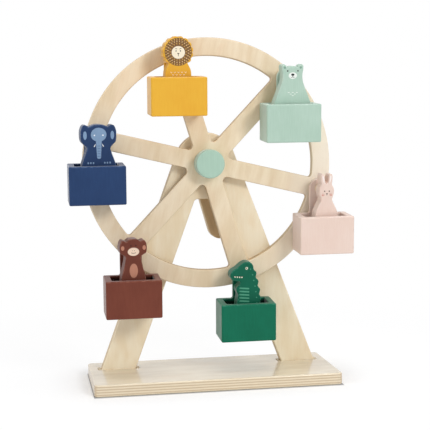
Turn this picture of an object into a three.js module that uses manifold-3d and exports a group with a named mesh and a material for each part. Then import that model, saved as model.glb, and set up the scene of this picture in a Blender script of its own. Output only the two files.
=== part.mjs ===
// Hand-cranked ferris wheel toy: a birch plywood wheel with six painted gondolas on an A-shaped stand.
// Millimetres, X to the right, Y to the back, Z up, origin in the middle of the base's underside.

import * as THREE from 'three';
import { mergeVertices } from 'three/addons/utils/BufferGeometryUtils.js';
import Module from 'manifold-3d';

const wasm = await Module();
wasm.setup();

// Clearances that every fit uses
const glueGap = 0.3;
const runningGap = 0.4;
const cutOverrun = 5;

// Base board
const baseLength = 250;
const baseDepth = 108;
const baseThickness = 12;
const baseCornerRadius = 4.5;
const plyChamfer = 0.8;
const slotRelief = 3;
const slotCornerRadius = 2.5;

// A-shaped stand
const standThickness = 12;
const standBackSetback = 24.7;
const headRadius = 31.5;
const footInset = 12.3;
const legFootWidth = 35.6;
const archFlatWidth = 24;
const archCornerRadius = 4;
const tenonRecess = 0.5;

// Wheel
const rimRadius = 128;
const rimWidth = 18.4;
const spokeWidth = 18.9;
const wheelThickness = 9;
const windowApexRadius = 4;
const windowCornerRadius = 3;
const wheelTurn = -13.7 * Math.PI / 180;
const spokeCount = 6;

// Axle, washers and hub cap
const axleRadius = 5;
const axleChamfer = 0.8;
const axleProud = 0.6;
const washerRadius = 12;
const washerThickness = 3.7;
const capRadius = 14.6;
const capThickness = 17;
const capEdgeRadius = 1.4;
const capFrontWall = 6;

// Crank arm and its knob
const crankLength = 70;
const crankHubRadius = 15;
const crankEndRadius = 13;
const crankThickness = 12;
const crankTurn = -75.9 * Math.PI / 180;
const knobPinRadius = 3;
const knobHeadLip = 1.8;
const knobHeadThickness = 2.5;
const knobLength = 30;
const knobRadius = 8;
const knobWaistDepth = 1.4;
const knobRimWidth = 0.8;
// Shares of the swell from waist to full radius, and of the knob's length
const knobShares = [[0.4, 0], [0.85, 0.04], [1, 0.12], [0.6, 0.3], [0, 0.5], [0.25, 0.66], [1, 0.86], [0.85, 0.95]];

// Gondolas: a routed box, its hanger panel, and the peg and collar that carry it
const boxWidth = 56.2;
const boxHeight = 38.4;
const boxDepth = 36.5;
const boxWall = 6.5;
const boxEdgeRadius = 1.2;
const boxCornerRadius = 2;
const pocketCornerRadius = 2.5;
const hangerThickness = 6.5;
const hangerRise = 24.9;
const tabWidth = 22;
const tabFilletRadius = 2;
const pegRadius = 4;
const pegHeadLip = 2;
const pegHeadThickness = 2.6;
const pegChamfer = 0.6;
const collarWall = 2.6;
const gondolaStandoff = 4.5;
const gondolaFloorClearance = 29.4;

// Flat-cut animal figures that stand in the boxes; the share is of the pocket's depth
const figureHeight = 73.4;
const figureThicknessShare = 0.6;
const figureFrontGap = 2.2;
const figureEdge = 1;

// Facets round the curves
const roundSteps = 20;

// Places that follow from the sizes above
const baseTop = baseThickness;
const boxDrop = hangerRise + boxHeight;
const pegCircleRadius = rimRadius - rimWidth / 2;
const hubHeight = baseTop + gondolaFloorClearance + boxDrop + pegCircleRadius;
const standBack = baseDepth / 2 - standBackSetback;
const standFront = standBack - standThickness;
const washerSpace = washerThickness + 2 * runningGap;
const wheelBack = standFront - washerSpace;
const wheelFront = wheelBack - wheelThickness;
const capBack = wheelFront - glueGap;
const capBoreDepth = capThickness - capFrontWall;
const crankFront = standBack + washerSpace;
const crankBack = crankFront + crankThickness;
const hangTilt = Math.atan2(gondolaStandoff - runningGap, boxDrop);
const tiltReach = hangerThickness * Math.sin(hangTilt);
const pegHeadRadius = pegRadius + pegHeadLip;
const knobHeadRadius = knobPinRadius + knobHeadLip;
const pocketWidth = boxWidth - 2 * boxWall;
const pocketDepth = boxDepth - boxWall - hangerThickness;
const figureThickness = pocketDepth * figureThicknessShare;

// Points along an arc, both ends included
function arcPoints(centreX, centreY, radius, fromAngle, toAngle, steps) {
  const points = [];
  for (let i = 0; i <= steps; i += 1) {
    const angle = fromAngle + (toAngle - fromAngle) * i / steps;
    points.push(new THREE.Vector2(centreX + radius * Math.cos(angle), centreY + radius * Math.sin(angle)));
  }
  return points;
}

// A whole circle, for a hole or a disc
function circlePoints(centreX, centreY, radius, steps = roundSteps) {
  return arcPoints(centreX, centreY, radius, 0, 2 * Math.PI, steps).slice(0, steps);
}

// A polygon whose corners are rounded: each corner is [x, y, radius]
function roundedPolygon(corners, steps = 3) {
  const points = [];
  corners.forEach(([x, y, radius], index) => {
    const here = new THREE.Vector2(x, y);
    const before = corners[(index + corners.length - 1) % corners.length];
    const after = corners[(index + 1) % corners.length];
    const inward = new THREE.Vector2(before[0], before[1]).sub(here);
    const outward = new THREE.Vector2(after[0], after[1]).sub(here);
    const half = Math.acos(THREE.MathUtils.clamp(inward.dot(outward) / inward.length() / outward.length(), -1, 1)) / 2;
    const room = Math.min(inward.length(), outward.length()) / 2;
    const fillet = Math.min(radius, room * Math.tan(half));
    if (fillet <= 0) {
      points.push(here);
      return;
    }
    const reach = fillet / Math.tan(half);
    const start = here.clone().addScaledVector(inward.normalize(), reach);
    const end = here.clone().addScaledVector(outward.normalize(), reach);
    const middle = inward.clone().add(outward).normalize().multiplyScalar(fillet / Math.sin(half)).add(here);
    const fromAngle = Math.atan2(start.y - middle.y, start.x - middle.x);
    let sweep = Math.atan2(end.y - middle.y, end.x - middle.x) - fromAngle;
    if (sweep > Math.PI) sweep -= 2 * Math.PI;
    if (sweep < -Math.PI) sweep += 2 * Math.PI;
    points.push(...arcPoints(middle.x, middle.y, fillet, fromAngle, fromAngle + sweep, steps));
  });
  return points;
}

// An outline in X and Z cut from a board whose front face lies at y = 0, with eased edges
function board(outline, holes, thickness, edge) {
  const shape = new THREE.Shape(outline);
  shape.holes = holes.map((points) => new THREE.Path(points));
  const geometry = new THREE.ExtrudeGeometry(shape, {
    depth: thickness - 2 * edge,
    bevelThickness: edge,
    bevelSize: edge,
    bevelOffset: -edge,
    bevelSegments: 1,
    steps: 1,
  });
  geometry.translate(0, 0, edge);
  geometry.rotateX(Math.PI / 2);
  geometry.translate(0, thickness, 0);
  return geometry;
}

// A plan outline in X and Y raised along Z from z = 0, with eased edges
function slab(outline, holes, height, edge) {
  const geometry = board(outline, holes, height, edge);
  geometry.translate(0, -height, 0);
  geometry.rotateX(-Math.PI / 2);
  return geometry;
}

// A turned piece: [radius, place along the axis] pairs, with the axis along +Y
function turned(profile, steps = roundSteps) {
  const points = profile.map(([radius, along]) => new THREE.Vector2(radius, along));
  return new THREE.LatheGeometry(points, steps);
}

function solidOf(geometry) {
  const bare = geometry.index ? geometry.toNonIndexed() : geometry.clone();
  bare.deleteAttribute('normal');
  bare.deleteAttribute('uv');
  const merged = mergeVertices(bare);
  return new wasm.Manifold(new wasm.Mesh({
    numProp: 3,
    vertProperties: new Float32Array(merged.attributes.position.array),
    triVerts: new Uint32Array(merged.index.array),
  }));
}

function geometryOf(solid) {
  const mesh = solid.getMesh();
  const geometry = new THREE.BufferGeometry();
  geometry.setAttribute('position', new THREE.BufferAttribute(mesh.vertProperties, mesh.numProp));
  geometry.setIndex(new THREE.BufferAttribute(mesh.triVerts, 1));
  geometry.computeVertexNormals();
  return geometry;
}

function finish(colour, roughness) {
  return { color: colour, roughness, metalness: 0 };
}

const birch = finish('#e0cdae', 0.62);
const dowel = finish('#dcc39a', 0.6);

function piece(name, geometry, look) {
  const mesh = new THREE.Mesh(geometry, new THREE.MeshStandardMaterial(look));
  mesh.name = name;
  return mesh;
}

// Base board with a through slot for each leg
function baseBoard() {
  const halfLength = baseLength / 2;
  const halfDepth = baseDepth / 2;
  const outline = roundedPolygon([
    [-halfLength, -halfDepth, baseCornerRadius],
    [halfLength, -halfDepth, baseCornerRadius],
    [halfLength, halfDepth, baseCornerRadius],
    [-halfLength, halfDepth, baseCornerRadius],
  ]);
  const outer = halfLength - footInset + slotRelief;
  const inner = halfLength - footInset - legFootWidth - slotRelief;
  const slot = (side) => roundedPolygon([
    [side * inner, standFront - glueGap, slotCornerRadius],
    [side * outer, standFront - glueGap, slotCornerRadius],
    [side * outer, standBack + glueGap, slotCornerRadius],
    [side * inner, standBack + glueGap, slotCornerRadius],
  ]);
  return slab(outline, [slot(1), slot(-1)], baseThickness, plyChamfer);
}

// The outer edges of both legs run up tangent to the round head
function standFrame() {
  const footX = baseLength / 2 - footInset;
  const rise = hubHeight - baseTop;
  const reach = Math.hypot(footX, rise);
  const lean = Math.atan2(footX, rise) - Math.asin(headRadius / reach);
  const slope = Math.tan(lean);
  const innerFootX = footX - legFootWidth;
  const archHalf = archFlatWidth / 2;
  const archTop = baseTop + (innerFootX - archHalf) / slope;
  const tenonFoot = tenonRecess;
  const head = arcPoints(0, hubHeight, headRadius, lean, Math.PI - lean, 26);
  const arch = roundedPolygon([
    [-footX, tenonFoot, 0],
    [-innerFootX, tenonFoot, 0],
    [-innerFootX, baseTop, 0],
    [-archHalf, archTop, archCornerRadius],
    [archHalf, archTop, archCornerRadius],
    [innerFootX, baseTop, 0],
    [innerFootX, tenonFoot, 0],
    [footX, tenonFoot, 0],
    [footX, baseTop, 0],
  ], 5);
  const outline = [...arch, ...head, new THREE.Vector2(-footX, baseTop)];
  const axleHole = circlePoints(0, hubHeight, axleRadius + runningGap);
  return board(outline, [axleHole], standThickness, plyChamfer).translate(0, standFront, 0);
}

// One window of the wheel: an apex near the hub, two corners at the rim, arcs between them
function wheelWindow(turn) {
  const half = spokeWidth / 2;
  const bisector = Math.PI / spokeCount;
  const rimInner = rimRadius - rimWidth;
  const apex = (half + windowApexRadius) / Math.sin(bisector);
  const spread = bisector - Math.asin((half + windowCornerRadius) / (rimInner - windowCornerRadius));
  const corner = rimInner - windowCornerRadius;
  const square = Math.PI / 2;
  const place = (distance, angle) => [distance * Math.cos(turn + angle), distance * Math.sin(turn + angle)];
  const upper = turn + square + bisector;
  const lower = turn - square - bisector;
  return [
    ...arcPoints(...place(apex, 0), windowApexRadius, lower + 2 * Math.PI, upper, 5),
    ...arcPoints(...place(corner, spread), windowCornerRadius, upper, turn + spread, 4),
    ...arcPoints(0, 0, rimInner, turn + spread, turn - spread, 14).slice(1, -1),
    ...arcPoints(...place(corner, -spread), windowCornerRadius, turn - spread, lower, 4),
  ];
}

function wheelDisc() {
  const step = 2 * Math.PI / spokeCount;
  const holes = [circlePoints(0, 0, axleRadius + glueGap)];
  for (let i = 0; i < spokeCount; i += 1) {
    holes.push(wheelWindow((i + 1 / 2) * step));
    const x = pegCircleRadius * Math.cos(i * step);
    const z = pegCircleRadius * Math.sin(i * step);
    holes.push(circlePoints(x, z, pegRadius + glueGap, 12));
  }
  return board(circlePoints(0, 0, rimRadius, 78), holes, wheelThickness, plyChamfer);
}

// Turned cap with a rounded front edge and a blind bore for the axle, its back at y = 0
function hubCap() {
  const edge = arcPoints(capRadius - capEdgeRadius, capEdgeRadius - capThickness, capEdgeRadius, 0, -Math.PI / 2, 4);
  return turned([
    [0, -capThickness],
    ...edge.reverse().map((point) => [point.x, point.y]),
    [capRadius, 0],
    [axleRadius + glueGap, 0],
    [axleRadius + glueGap, -capBoreDepth],
    [0, -capBoreDepth],
  ], 44);
}

// Axle dowel from inside the cap to just proud of the crank arm
function axleDowel() {
  const front = capBack - capBoreDepth + glueGap;
  const back = crankBack + axleProud;
  return turned([
    [0, front],
    [axleRadius - axleChamfer, front],
    [axleRadius, front + axleChamfer],
    [axleRadius, back - axleChamfer],
    [axleRadius - axleChamfer, back],
    [0, back],
  ], 24);
}

function ring(outerRadius, boreRadius, thickness, steps) {
  return turned([
    [boreRadius, 0],
    [outerRadius, 0],
    [outerRadius, thickness],
    [boreRadius, thickness],
    [boreRadius, 0],
  ], steps);
}

// Crank arm: two round ends joined by tangent sides, bored for the axle and the knob pin
function crankArm() {
  const taper = Math.asin((crankHubRadius - crankEndRadius) / crankLength);
  const side = Math.PI / 2 - taper;
  const outline = [
    ...arcPoints(0, 0, crankHubRadius, side, 2 * Math.PI - side, 18),
    ...arcPoints(crankLength, 0, crankEndRadius, -side, side, 14),
  ];
  const holes = [
    circlePoints(0, 0, axleRadius + glueGap),
    circlePoints(crankLength, 0, knobPinRadius + glueGap, 16),
  ];
  return board(outline, holes, crankThickness, plyChamfer);
}

// Knob with a waist, bored for its pin and counterbored for the pin's head, its front at y = 0
function crankKnob() {
  const bore = knobPinRadius + runningGap;
  const sink = knobHeadRadius + runningGap;
  const sinkDepth = knobHeadThickness + runningGap;
  const swell = (share) => knobRadius - knobWaistDepth * (1 - share);
  const barrel = knobShares.map(([swellShare, lengthShare]) => [swell(swellShare), lengthShare * knobLength]);
  return turned([
    [bore, 0],
    ...barrel,
    [sink + knobRimWidth, knobLength],
    [sink, knobLength - knobRimWidth],
    [sink, knobLength - sinkDepth],
    [bore, knobLength - sinkDepth],
    [bore, 0],
  ], 28);
}

// Pin that holds the knob: glued into the arm, its head sunk into the knob's back
function knobPin() {
  const headSeat = crankThickness + runningGap + knobLength - knobHeadThickness;
  return turned([
    [0, 0],
    [knobPinRadius, 0],
    [knobPinRadius, headSeat],
    [knobHeadRadius, headSeat],
    [knobHeadRadius, headSeat + knobHeadThickness - pegChamfer],
    [knobHeadRadius - pegChamfer, headSeat + knobHeadThickness],
    [0, headSeat + knobHeadThickness],
  ]);
}

// Peg glued through the rim, its head in front of the hanger
function gondolaPeg() {
  const headBack = -(gondolaStandoff + hangerThickness + pegHeadRadius * Math.sin(hangTilt) + runningGap);
  const headFront = headBack - pegHeadThickness;
  return turned([
    [0, headFront],
    [pegHeadRadius - pegChamfer, headFront],
    [pegHeadRadius, headFront + pegChamfer],
    [pegHeadRadius, headBack],
    [pegRadius, headBack],
    [pegRadius, wheelThickness - pegChamfer],
    [pegRadius - pegChamfer, wheelThickness],
    [0, wheelThickness],
  ], 18);
}

// Loose collar that keeps the hanger off the rim
function pegCollar() {
  const bore = pegRadius + runningGap;
  const collarRadius = bore + collarWall;
  const thickness = gondolaStandoff - collarRadius * Math.sin(hangTilt) - 2 * glueGap;
  return ring(collarRadius, bore, thickness, 18);
}

// Gondola box: front, floor and sides from one block, open to the top and to the hanger panel
function gondolaBox() {
  const half = boxWidth / 2;
  const back = -hangerThickness - glueGap;
  const block = slab(roundedPolygon([
    [-half, -boxDepth, boxCornerRadius],
    [half, -boxDepth, boxCornerRadius],
    [half, back, 0],
    [-half, back, 0],
  ]), [], boxHeight, boxEdgeRadius);
  const inside = pocketWidth / 2;
  const front = boxWall - boxDepth;
  const pocket = slab(roundedPolygon([
    [-inside, front, pocketCornerRadius],
    [inside, front, pocketCornerRadius],
    [inside, back + cutOverrun, 0],
    [-inside, back + cutOverrun, 0],
  ]), [], boxHeight, 0);
  pocket.translate(0, 0, boxWall);
  return geometryOf(solidOf(block).subtract(solidOf(pocket))).translate(0, 0, -boxDrop);
}

// Hanger: the back panel of the box, with a round-topped tab that hangs on the peg
function hangerPanel() {
  const half = boxWidth / 2;
  const tab = tabWidth / 2;
  const crown = arcPoints(0, 0, tab, 0, Math.PI, 12);
  const lower = roundedPolygon([
    [-tab, 0, 0],
    [-tab, -hangerRise, tabFilletRadius],
    [-half, -hangerRise, boxEdgeRadius],
    [-half, -boxDrop, boxEdgeRadius],
    [half, -boxDrop, boxEdgeRadius],
    [half, -hangerRise, boxEdgeRadius],
    [tab, -hangerRise, tabFilletRadius],
    [tab, 0, 0],
  ], 2);
  const outline = [...lower.slice(1, -1), ...crown];
  const hole = circlePoints(0, 0, pegRadius + runningGap + tiltReach, 14);
  return board(outline, [hole], hangerThickness, plyChamfer).translate(0, -hangerThickness, 0);
}

// Half outlines of the figures from foot to crown, as shares of half the width and of the height
const bearShares = [
  [1, 0], [1, 0.41], [0.93, 0.48], [0.76, 0.6], [0.59, 0.72], [0.53, 0.79], [0.53, 0.86],
  [0.57, 0.92], [0.56, 0.975], [0.46, 0.995], [0.35, 0.975], [0.29, 0.95], [0.15, 0.965], [0, 0.968],
];
const rabbitShares = [
  [0.98, 0], [1, 0.4], [0.93, 0.48], [0.72, 0.56], [0.53, 0.62], [0.49, 0.655], [0.57, 0.69], [0.65, 0.75],
  [0.6, 0.81], [0.47, 0.85], [0.5, 0.91], [0.47, 0.98], [0.34, 1], [0.2, 0.945], [0.1, 0.87], [0, 0.86],
];
const monkeyShares = [
  [0.9, 0], [0.91, 0.42], [0.82, 0.52], [0.68, 0.62], [0.59, 0.7], [0.58, 0.75], [0.7, 0.775],
  [0.94, 0.805], [1, 0.865], [0.95, 0.94], [0.8, 0.98], [0.64, 0.975], [0.52, 0.965], [0.28, 0.995], [0, 1],
];
const elephantShares = [
  [0.96, 0], [0.97, 0.42], [0.88, 0.5], [0.72, 0.61], [0.66, 0.675], [0.78, 0.715], [0.95, 0.76],
  [1, 0.85], [0.97, 0.93], [0.84, 0.985], [0.66, 0.985], [0.55, 0.965], [0.32, 0.985], [0, 0.995],
];
// The crocodile stands in profile, so its outline runs all the way round from its back foot
const crocodileShares = [
  [0.86, 0], [0.88, 0.36], [0.82, 0.43], [0.88, 0.49], [0.77, 0.54], [0.82, 0.61], [0.68, 0.66], [0.72, 0.73],
  [0.56, 0.78], [0.59, 0.85], [0.44, 0.89], [0.38, 0.95], [0.2, 0.995], [-0.06, 1], [-0.28, 0.98],
  [-0.6, 0.92], [-0.92, 0.87], [-1, 0.81], [-0.9, 0.76], [-0.66, 0.74], [-0.42, 0.725], [-0.46, 0.68],
  [-0.62, 0.645], [-0.62, 0.59], [-0.54, 0.55], [-0.62, 0.42], [-0.64, 0.3], [-0.64, 0],
];

// A smooth outline through the given shares of half a width and of a height
function splineOutline(shares, halfWidth, height, steps) {
  const points = shares.map(([x, z]) => new THREE.Vector3(x * halfWidth, z * height, 0));
  const curve = new THREE.CatmullRomCurve3(points, false, 'centripetal');
  return curve.getSpacedPoints(steps).map((point) => new THREE.Vector2(point.x, point.y));
}

function mirrored(shares) {
  const other = shares.slice(0, -1).map(([x, z]) => [-x, z]).reverse();
  return [...shares, ...other];
}

// Lion: a scalloped round mane on a short body, in shares of its half width, its height and a half turn
const maneCentreShare = 0.775;
const maneSpanShare = 0.27;
const maneScallopShare = 0.04;
const lionFootShare = 0.86;
const lionShoulderShares = [0.8, 0.535];
const lionHaunchShare = 0.42;
const maneScallops = 12;
const scallopSteps = 6;

function lionOutline(halfWidth, height) {
  const centre = height * maneCentreShare;
  const radius = Math.min(height - centre, halfWidth) / (1 + maneScallopShare);
  const under = Math.PI * maneSpanShare;
  const ring = arcPoints(0, 0, radius, -under, Math.PI + under, maneScallops * scallopSteps);
  const mane = ring.map((point, index) => {
    const wave = Math.abs(Math.sin(index * Math.PI / scallopSteps));
    const swell = 1 + maneScallopShare * (2 * wave - 1);
    return new THREE.Vector2(point.x * swell, centre + point.y * swell);
  });
  const foot = halfWidth * lionFootShare;
  const [shoulderShare, shoulderHeightShare] = lionShoulderShares;
  const body = (side) => [
    new THREE.Vector2(side * foot, 0),
    new THREE.Vector2(side * foot, height * lionHaunchShare),
    new THREE.Vector2(side * halfWidth * shoulderShare, height * shoulderHeightShare),
  ];
  return [...body(1), ...mane, ...body(-1).reverse()];
}

// Six gondolas in the order of the spokes: paint, figure, its turn in degrees,
// and shares of the pocket's width and of the figures' height
const gondolas = [
  { colour: 'pink', paint: '#e4cbbf', figure: 'rabbit', turn: 3, widthShare: 0.575, heightShare: 1.015, shiftShare: 0.02 },
  { colour: 'mint', paint: '#b3cdbf', figure: 'bear', turn: 1.5, widthShare: 0.93, heightShare: 0.975, shiftShare: 0 },
  { colour: 'yellow', paint: '#e5b043', figure: 'lion', turn: 3, widthShare: 0.74, heightShare: 0.985, shiftShare: 0 },
  { colour: 'blue', paint: '#30466a', figure: 'elephant', turn: 5, widthShare: 0.845, heightShare: 0.985, shiftShare: 0.04 },
  { colour: 'brown', paint: '#784236', figure: 'monkey', turn: 5, widthShare: 0.655, heightShare: 0.985, shiftShare: 0 },
  { colour: 'green', paint: '#1e7156', figure: 'crocodile', turn: 2, widthShare: 0.81, heightShare: 1, shiftShare: -0.02 },
];

const figureOutlines = {
  rabbit: (half, height) => splineOutline(mirrored(rabbitShares), half, height, 70),
  bear: (half, height) => splineOutline(mirrored(bearShares), half, height, 64),
  lion: lionOutline,
  elephant: (half, height) => splineOutline(mirrored(elephantShares), half, height, 64),
  monkey: (half, height) => splineOutline(mirrored(monkeyShares), half, height, 64),
  crocodile: (half, height) => splineOutline(crocodileShares, half, height, 78),
};

function figureSolid(entry) {
  const halfWidth = pocketWidth * entry.widthShare / 2;
  const outline = figureOutlines[entry.figure](halfWidth, figureHeight * entry.heightShare);
  const geometry = board(outline, [], figureThickness, figureEdge);
  geometry.translate(0, -figureThickness / 2, 0);
  geometry.rotateZ(entry.turn * Math.PI / 180);
  return geometry;
}

// Everything that hangs from one peg, tipped forward until its lower back edge nears the wheel
function gondola(entry, index) {
  const angle = wheelTurn + index * 2 * Math.PI / spokeCount;
  const hub = new THREE.Group();
  hub.position.set(pegCircleRadius * Math.cos(angle), wheelFront, hubHeight + pegCircleRadius * Math.sin(angle));
  const peg = piece(`peg_${entry.colour}`, gondolaPeg(), dowel);
  const collar = piece(`collar_${entry.colour}`, pegCollar(), dowel);
  collar.rotation.x = Math.PI;
  collar.position.y = -glueGap;
  const hanging = new THREE.Group();
  hanging.position.y = -gondolaStandoff;
  hanging.rotation.x = hangTilt;
  const paint = finish(entry.paint, 0.5);
  hanging.add(piece(`box_${entry.colour}`, gondolaBox(), paint));
  hanging.add(piece(`hanger_${entry.colour}`, hangerPanel(), paint));
  const figure = piece(`figure_${entry.figure}`, figureSolid(entry), paint);
  figure.position.x = pocketWidth * entry.shiftShare;
  figure.position.y = boxWall - boxDepth + figureFrontGap + figureThickness / 2;
  figure.position.z = boxWall - boxDrop + glueGap;
  hanging.add(figure);
  hub.add(peg, collar, hanging);
  return hub;
}

const toy = new THREE.Group();
toy.add(piece('base_board', baseBoard(), birch));
toy.add(piece('stand_frame', standFrame(), birch));

// Everything on the axle, turned with the wheel
const rotor = new THREE.Group();
rotor.position.z = hubHeight;
const wheel = piece('wheel', wheelDisc(), birch);
wheel.position.y = wheelFront;
wheel.rotation.y = -wheelTurn;
const cap = piece('hub_cap', hubCap(), finish('#a9c9ba', 0.5));
cap.position.y = capBack;
const axle = piece('axle_dowel', axleDowel(), dowel);
const frontWasher = piece('front_washer', ring(washerRadius, axleRadius + runningGap, washerThickness, 28), dowel);
frontWasher.position.y = wheelBack + runningGap;
const rearWasher = piece('rear_washer', ring(washerRadius, axleRadius + runningGap, washerThickness, 28), dowel);
rearWasher.position.y = standBack + runningGap;
rotor.add(wheel, cap, axle, frontWasher, rearWasher);
toy.add(rotor);

// Crank arm behind the stand, with the knob that spins on its pin
const crank = new THREE.Group();
crank.position.set(0, crankFront, hubHeight);
crank.rotation.y = -crankTurn;
const arm = piece('crank_arm', crankArm(), birch);
const pin = piece('knob_pin', knobPin(), dowel);
pin.position.x = crankLength;
const knob = piece('crank_knob', crankKnob(), dowel);
knob.position.set(crankLength, crankThickness + runningGap, 0);
crank.add(arm, pin, knob);
toy.add(crank);

gondolas.forEach((entry, index) => toy.add(gondola(entry, index)));

export default toy;
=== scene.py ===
import math

import bpy
import numpy as np
from mathutils import Matrix, Vector
from mathutils.geometry import tessellate_polygon


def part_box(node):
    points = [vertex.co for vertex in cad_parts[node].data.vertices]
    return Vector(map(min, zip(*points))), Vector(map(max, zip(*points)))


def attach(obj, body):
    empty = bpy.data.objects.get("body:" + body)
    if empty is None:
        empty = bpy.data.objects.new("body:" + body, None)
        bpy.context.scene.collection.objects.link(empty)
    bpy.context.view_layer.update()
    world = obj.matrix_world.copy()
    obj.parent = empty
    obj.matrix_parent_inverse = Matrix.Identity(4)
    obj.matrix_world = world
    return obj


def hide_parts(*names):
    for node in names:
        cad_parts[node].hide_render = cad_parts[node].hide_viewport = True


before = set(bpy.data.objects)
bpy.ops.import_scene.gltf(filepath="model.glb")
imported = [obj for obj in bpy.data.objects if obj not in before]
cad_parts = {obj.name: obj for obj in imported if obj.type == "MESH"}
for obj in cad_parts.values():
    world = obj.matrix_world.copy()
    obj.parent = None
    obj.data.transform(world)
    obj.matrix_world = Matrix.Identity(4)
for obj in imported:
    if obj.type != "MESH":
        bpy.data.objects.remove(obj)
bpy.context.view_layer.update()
mm = 0.001
quarter = math.pi / 2
sides = (-1, 1)
white, black = (1, 1, 1, 1), (0, 0, 0, 1)
print("frame loaded:", len(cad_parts), "nodes")


# A CAD node's lowest and highest corner
def nodeBox(node):
    return [np.array(corner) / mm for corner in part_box(node)]


# A colour as it is written on screen, times a tone, in the linear values that shaders use
def colour(code, tone=1):
    parts = np.round(np.array([int(code[i:i + 2], 16) for i in (1, 3, 5)]) * tone) / 255
    linear = np.where(parts <= 0.04045, parts / 12.92, ((parts + 0.055) / 1.055) ** 2.4)
    return (*linear.tolist(), 1.0)


def addObject(name, data, place=None):
    made = bpy.data.objects.new(name, data)
    if place is not None:
        made.matrix_world = place
    bpy.context.scene.collection.objects.link(made)
    return made


def moved(x, y, z):
    return Matrix.Translation((x, y, z))


camera = {
    "place": (-191.19, -1182.87, 272.82),
    "yaw": 0.165,  # radians towards +X
    "pitch": 0.085,  # radians downwards
    "roll": -0.016,
    "lens": 98.29, "sensor": 36,
    "clip": 20,  # metres
}


# The view axes come from yaw and pitch, then turn about the line of sight by the roll
def makeCamera():
    yaw, pitch, roll = camera["yaw"], camera["pitch"], camera["roll"]
    ahead = Vector((math.sin(yaw) * math.cos(pitch), math.cos(yaw) * math.cos(pitch), -math.sin(pitch)))
    level = Vector((math.cos(yaw), -math.sin(yaw), 0))
    upright = level.cross(ahead)
    right = level * math.cos(roll) + upright * math.sin(roll)
    up = upright * math.cos(roll) - level * math.sin(roll)
    data = bpy.data.cameras.new("camera")
    data.sensor_width, data.lens, data.clip_end = camera["sensor"], camera["lens"], camera["clip"]
    turn = Matrix((right, up, -ahead)).transposed().to_4x4()
    place = Matrix.Translation(Vector(camera["place"]) * mm) @ turn
    bpy.context.scene.camera = addObject("camera", data, place)


makeCamera()
print("camera set")


# The point at a distance and an angle from the origin
def polar(radius, angle):
    return radius * np.array([math.cos(angle), math.sin(angle)])


# Points of an arc between two angles, both ends included
def arc(x, y, radius, start, end, steps):
    angles = np.linspace(start, end, steps + 1)
    return np.column_stack([x + radius * np.cos(angles), y + radius * np.sin(angles)])


def circle(x, y, radius, steps):
    return arc(x, y, radius, 0, 2 * math.pi, steps)[:-1]


def ellipse(x, y, wide, high, steps=28):
    return circle(0, 0, 1, steps) * (wide / 2, high / 2) + (x, y)


# Points turned about the origin by an angle from X towards the second axis
def turned2d(points, angle):
    c, s = math.cos(angle), math.sin(angle)
    return points @ np.array([[c, s], [-s, c]])


# Points mirrored from one side to the other, in reverse order so that an outline goes on the same way round
def mirrored(points):
    return (points * (-1, 1))[::-1]


# Holes run the other way round from outlines
def hole(points):
    return points[::-1]


# Rows of numbers divided by their lengths
def unit(rows):
    return rows / np.maximum(np.linalg.norm(rows, axis=1, keepdims=True), 1e-9)


# The length of the side from every point to the next, and the side turned clockwise to its unit normal
def sidesOf(points):
    side = np.roll(points, -1, 0) - points
    length = np.maximum(np.linalg.norm(side, axis=1, keepdims=True), 1e-9)
    return length, np.column_stack([side[:, 1], -side[:, 0]]) / length


# Every corner (x, y, radius) becomes the arc that touches both its sides: the arc's centre lies on the
# corner's bisector at radius / sin(half angle), and its ends lie radius / tan(half angle) from the corner
def filletPolygon(corners, steps=6):
    corners = np.array(corners, float)
    here, radius = corners[:, :2], corners[:, 2:]
    before, after = unit(np.roll(here, 1, 0) - here), unit(np.roll(here, -1, 0) - here)
    half = np.arccos(np.clip((before * after).sum(1, keepdims=True), -1, 1)) / 2
    middle = here + unit(before + after) * radius / np.sin(half)
    first = here + before * radius / np.tan(half) - middle
    last = here + after * radius / np.tan(half) - middle
    start = np.arctan2(first[:, 1], first[:, 0])
    sweep = (np.arctan2(last[:, 1], last[:, 0]) - start + math.pi) % (2 * math.pi) - math.pi
    angles = start[:, None] + sweep[:, None] * np.linspace(0, 1, steps + 1)
    points = middle[:, None] + radius[:, None] * np.stack([np.cos(angles), np.sin(angles)], -1)
    return withoutDoubles(points.reshape(-1, 2))


def withoutDoubles(points):
    return points[np.linalg.norm(points - np.roll(points, 1, 0), axis=1) > 1e-6]


# A rectangle with one radius at its left corners and one at its right ones
def roundedBox(x0, x1, y0, y1, left, right):
    return filletPolygon([[x0, y0, left], [x1, y0, right], [x1, y1, right], [x0, y1, left]])


# An open smooth line through knots: each span is a cubic whose end slopes come from its neighbours,
# spaced by the square roots of their distances, and the line is cut into equal lengths
def smoothLine(knots, count, samples=41):
    knots = np.array(knots, float)
    padded = np.vstack([2 * knots[0] - knots[1], knots, 2 * knots[-1] - knots[-2]])
    gap = np.sqrt(np.linalg.norm(np.diff(padded, axis=0), axis=1))[:, None]
    slope = np.diff(padded, axis=0) / gap
    wide = (padded[2:] - padded[:-2]) / (gap[1:] + gap[:-1])
    tangent = slope[:-1] - wide + slope[1:]
    a, b = knots[:-1], knots[1:]
    ta, tb = tangent[:-1] * gap[1:-1], tangent[1:] * gap[1:-1]
    t = np.linspace(0, 1, samples)[:, None, None]
    line = (2 * t**3 - 3 * t**2 + 1) * a + (t**3 - 2 * t**2 + t) * ta
    line = line + (3 * t**2 - 2 * t**3) * b + (t**3 - t**2) * tb
    fine = np.vstack([line[:-1].transpose(1, 0, 2).reshape(-1, 2), knots[-1:]])
    length = np.concatenate([[0], np.cumsum(np.linalg.norm(np.diff(fine, axis=0), axis=1))])
    even = np.linspace(0, length[-1], count)
    return np.column_stack([np.interp(even, length, fine[:, 0]), np.interp(even, length, fine[:, 1])])


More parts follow.
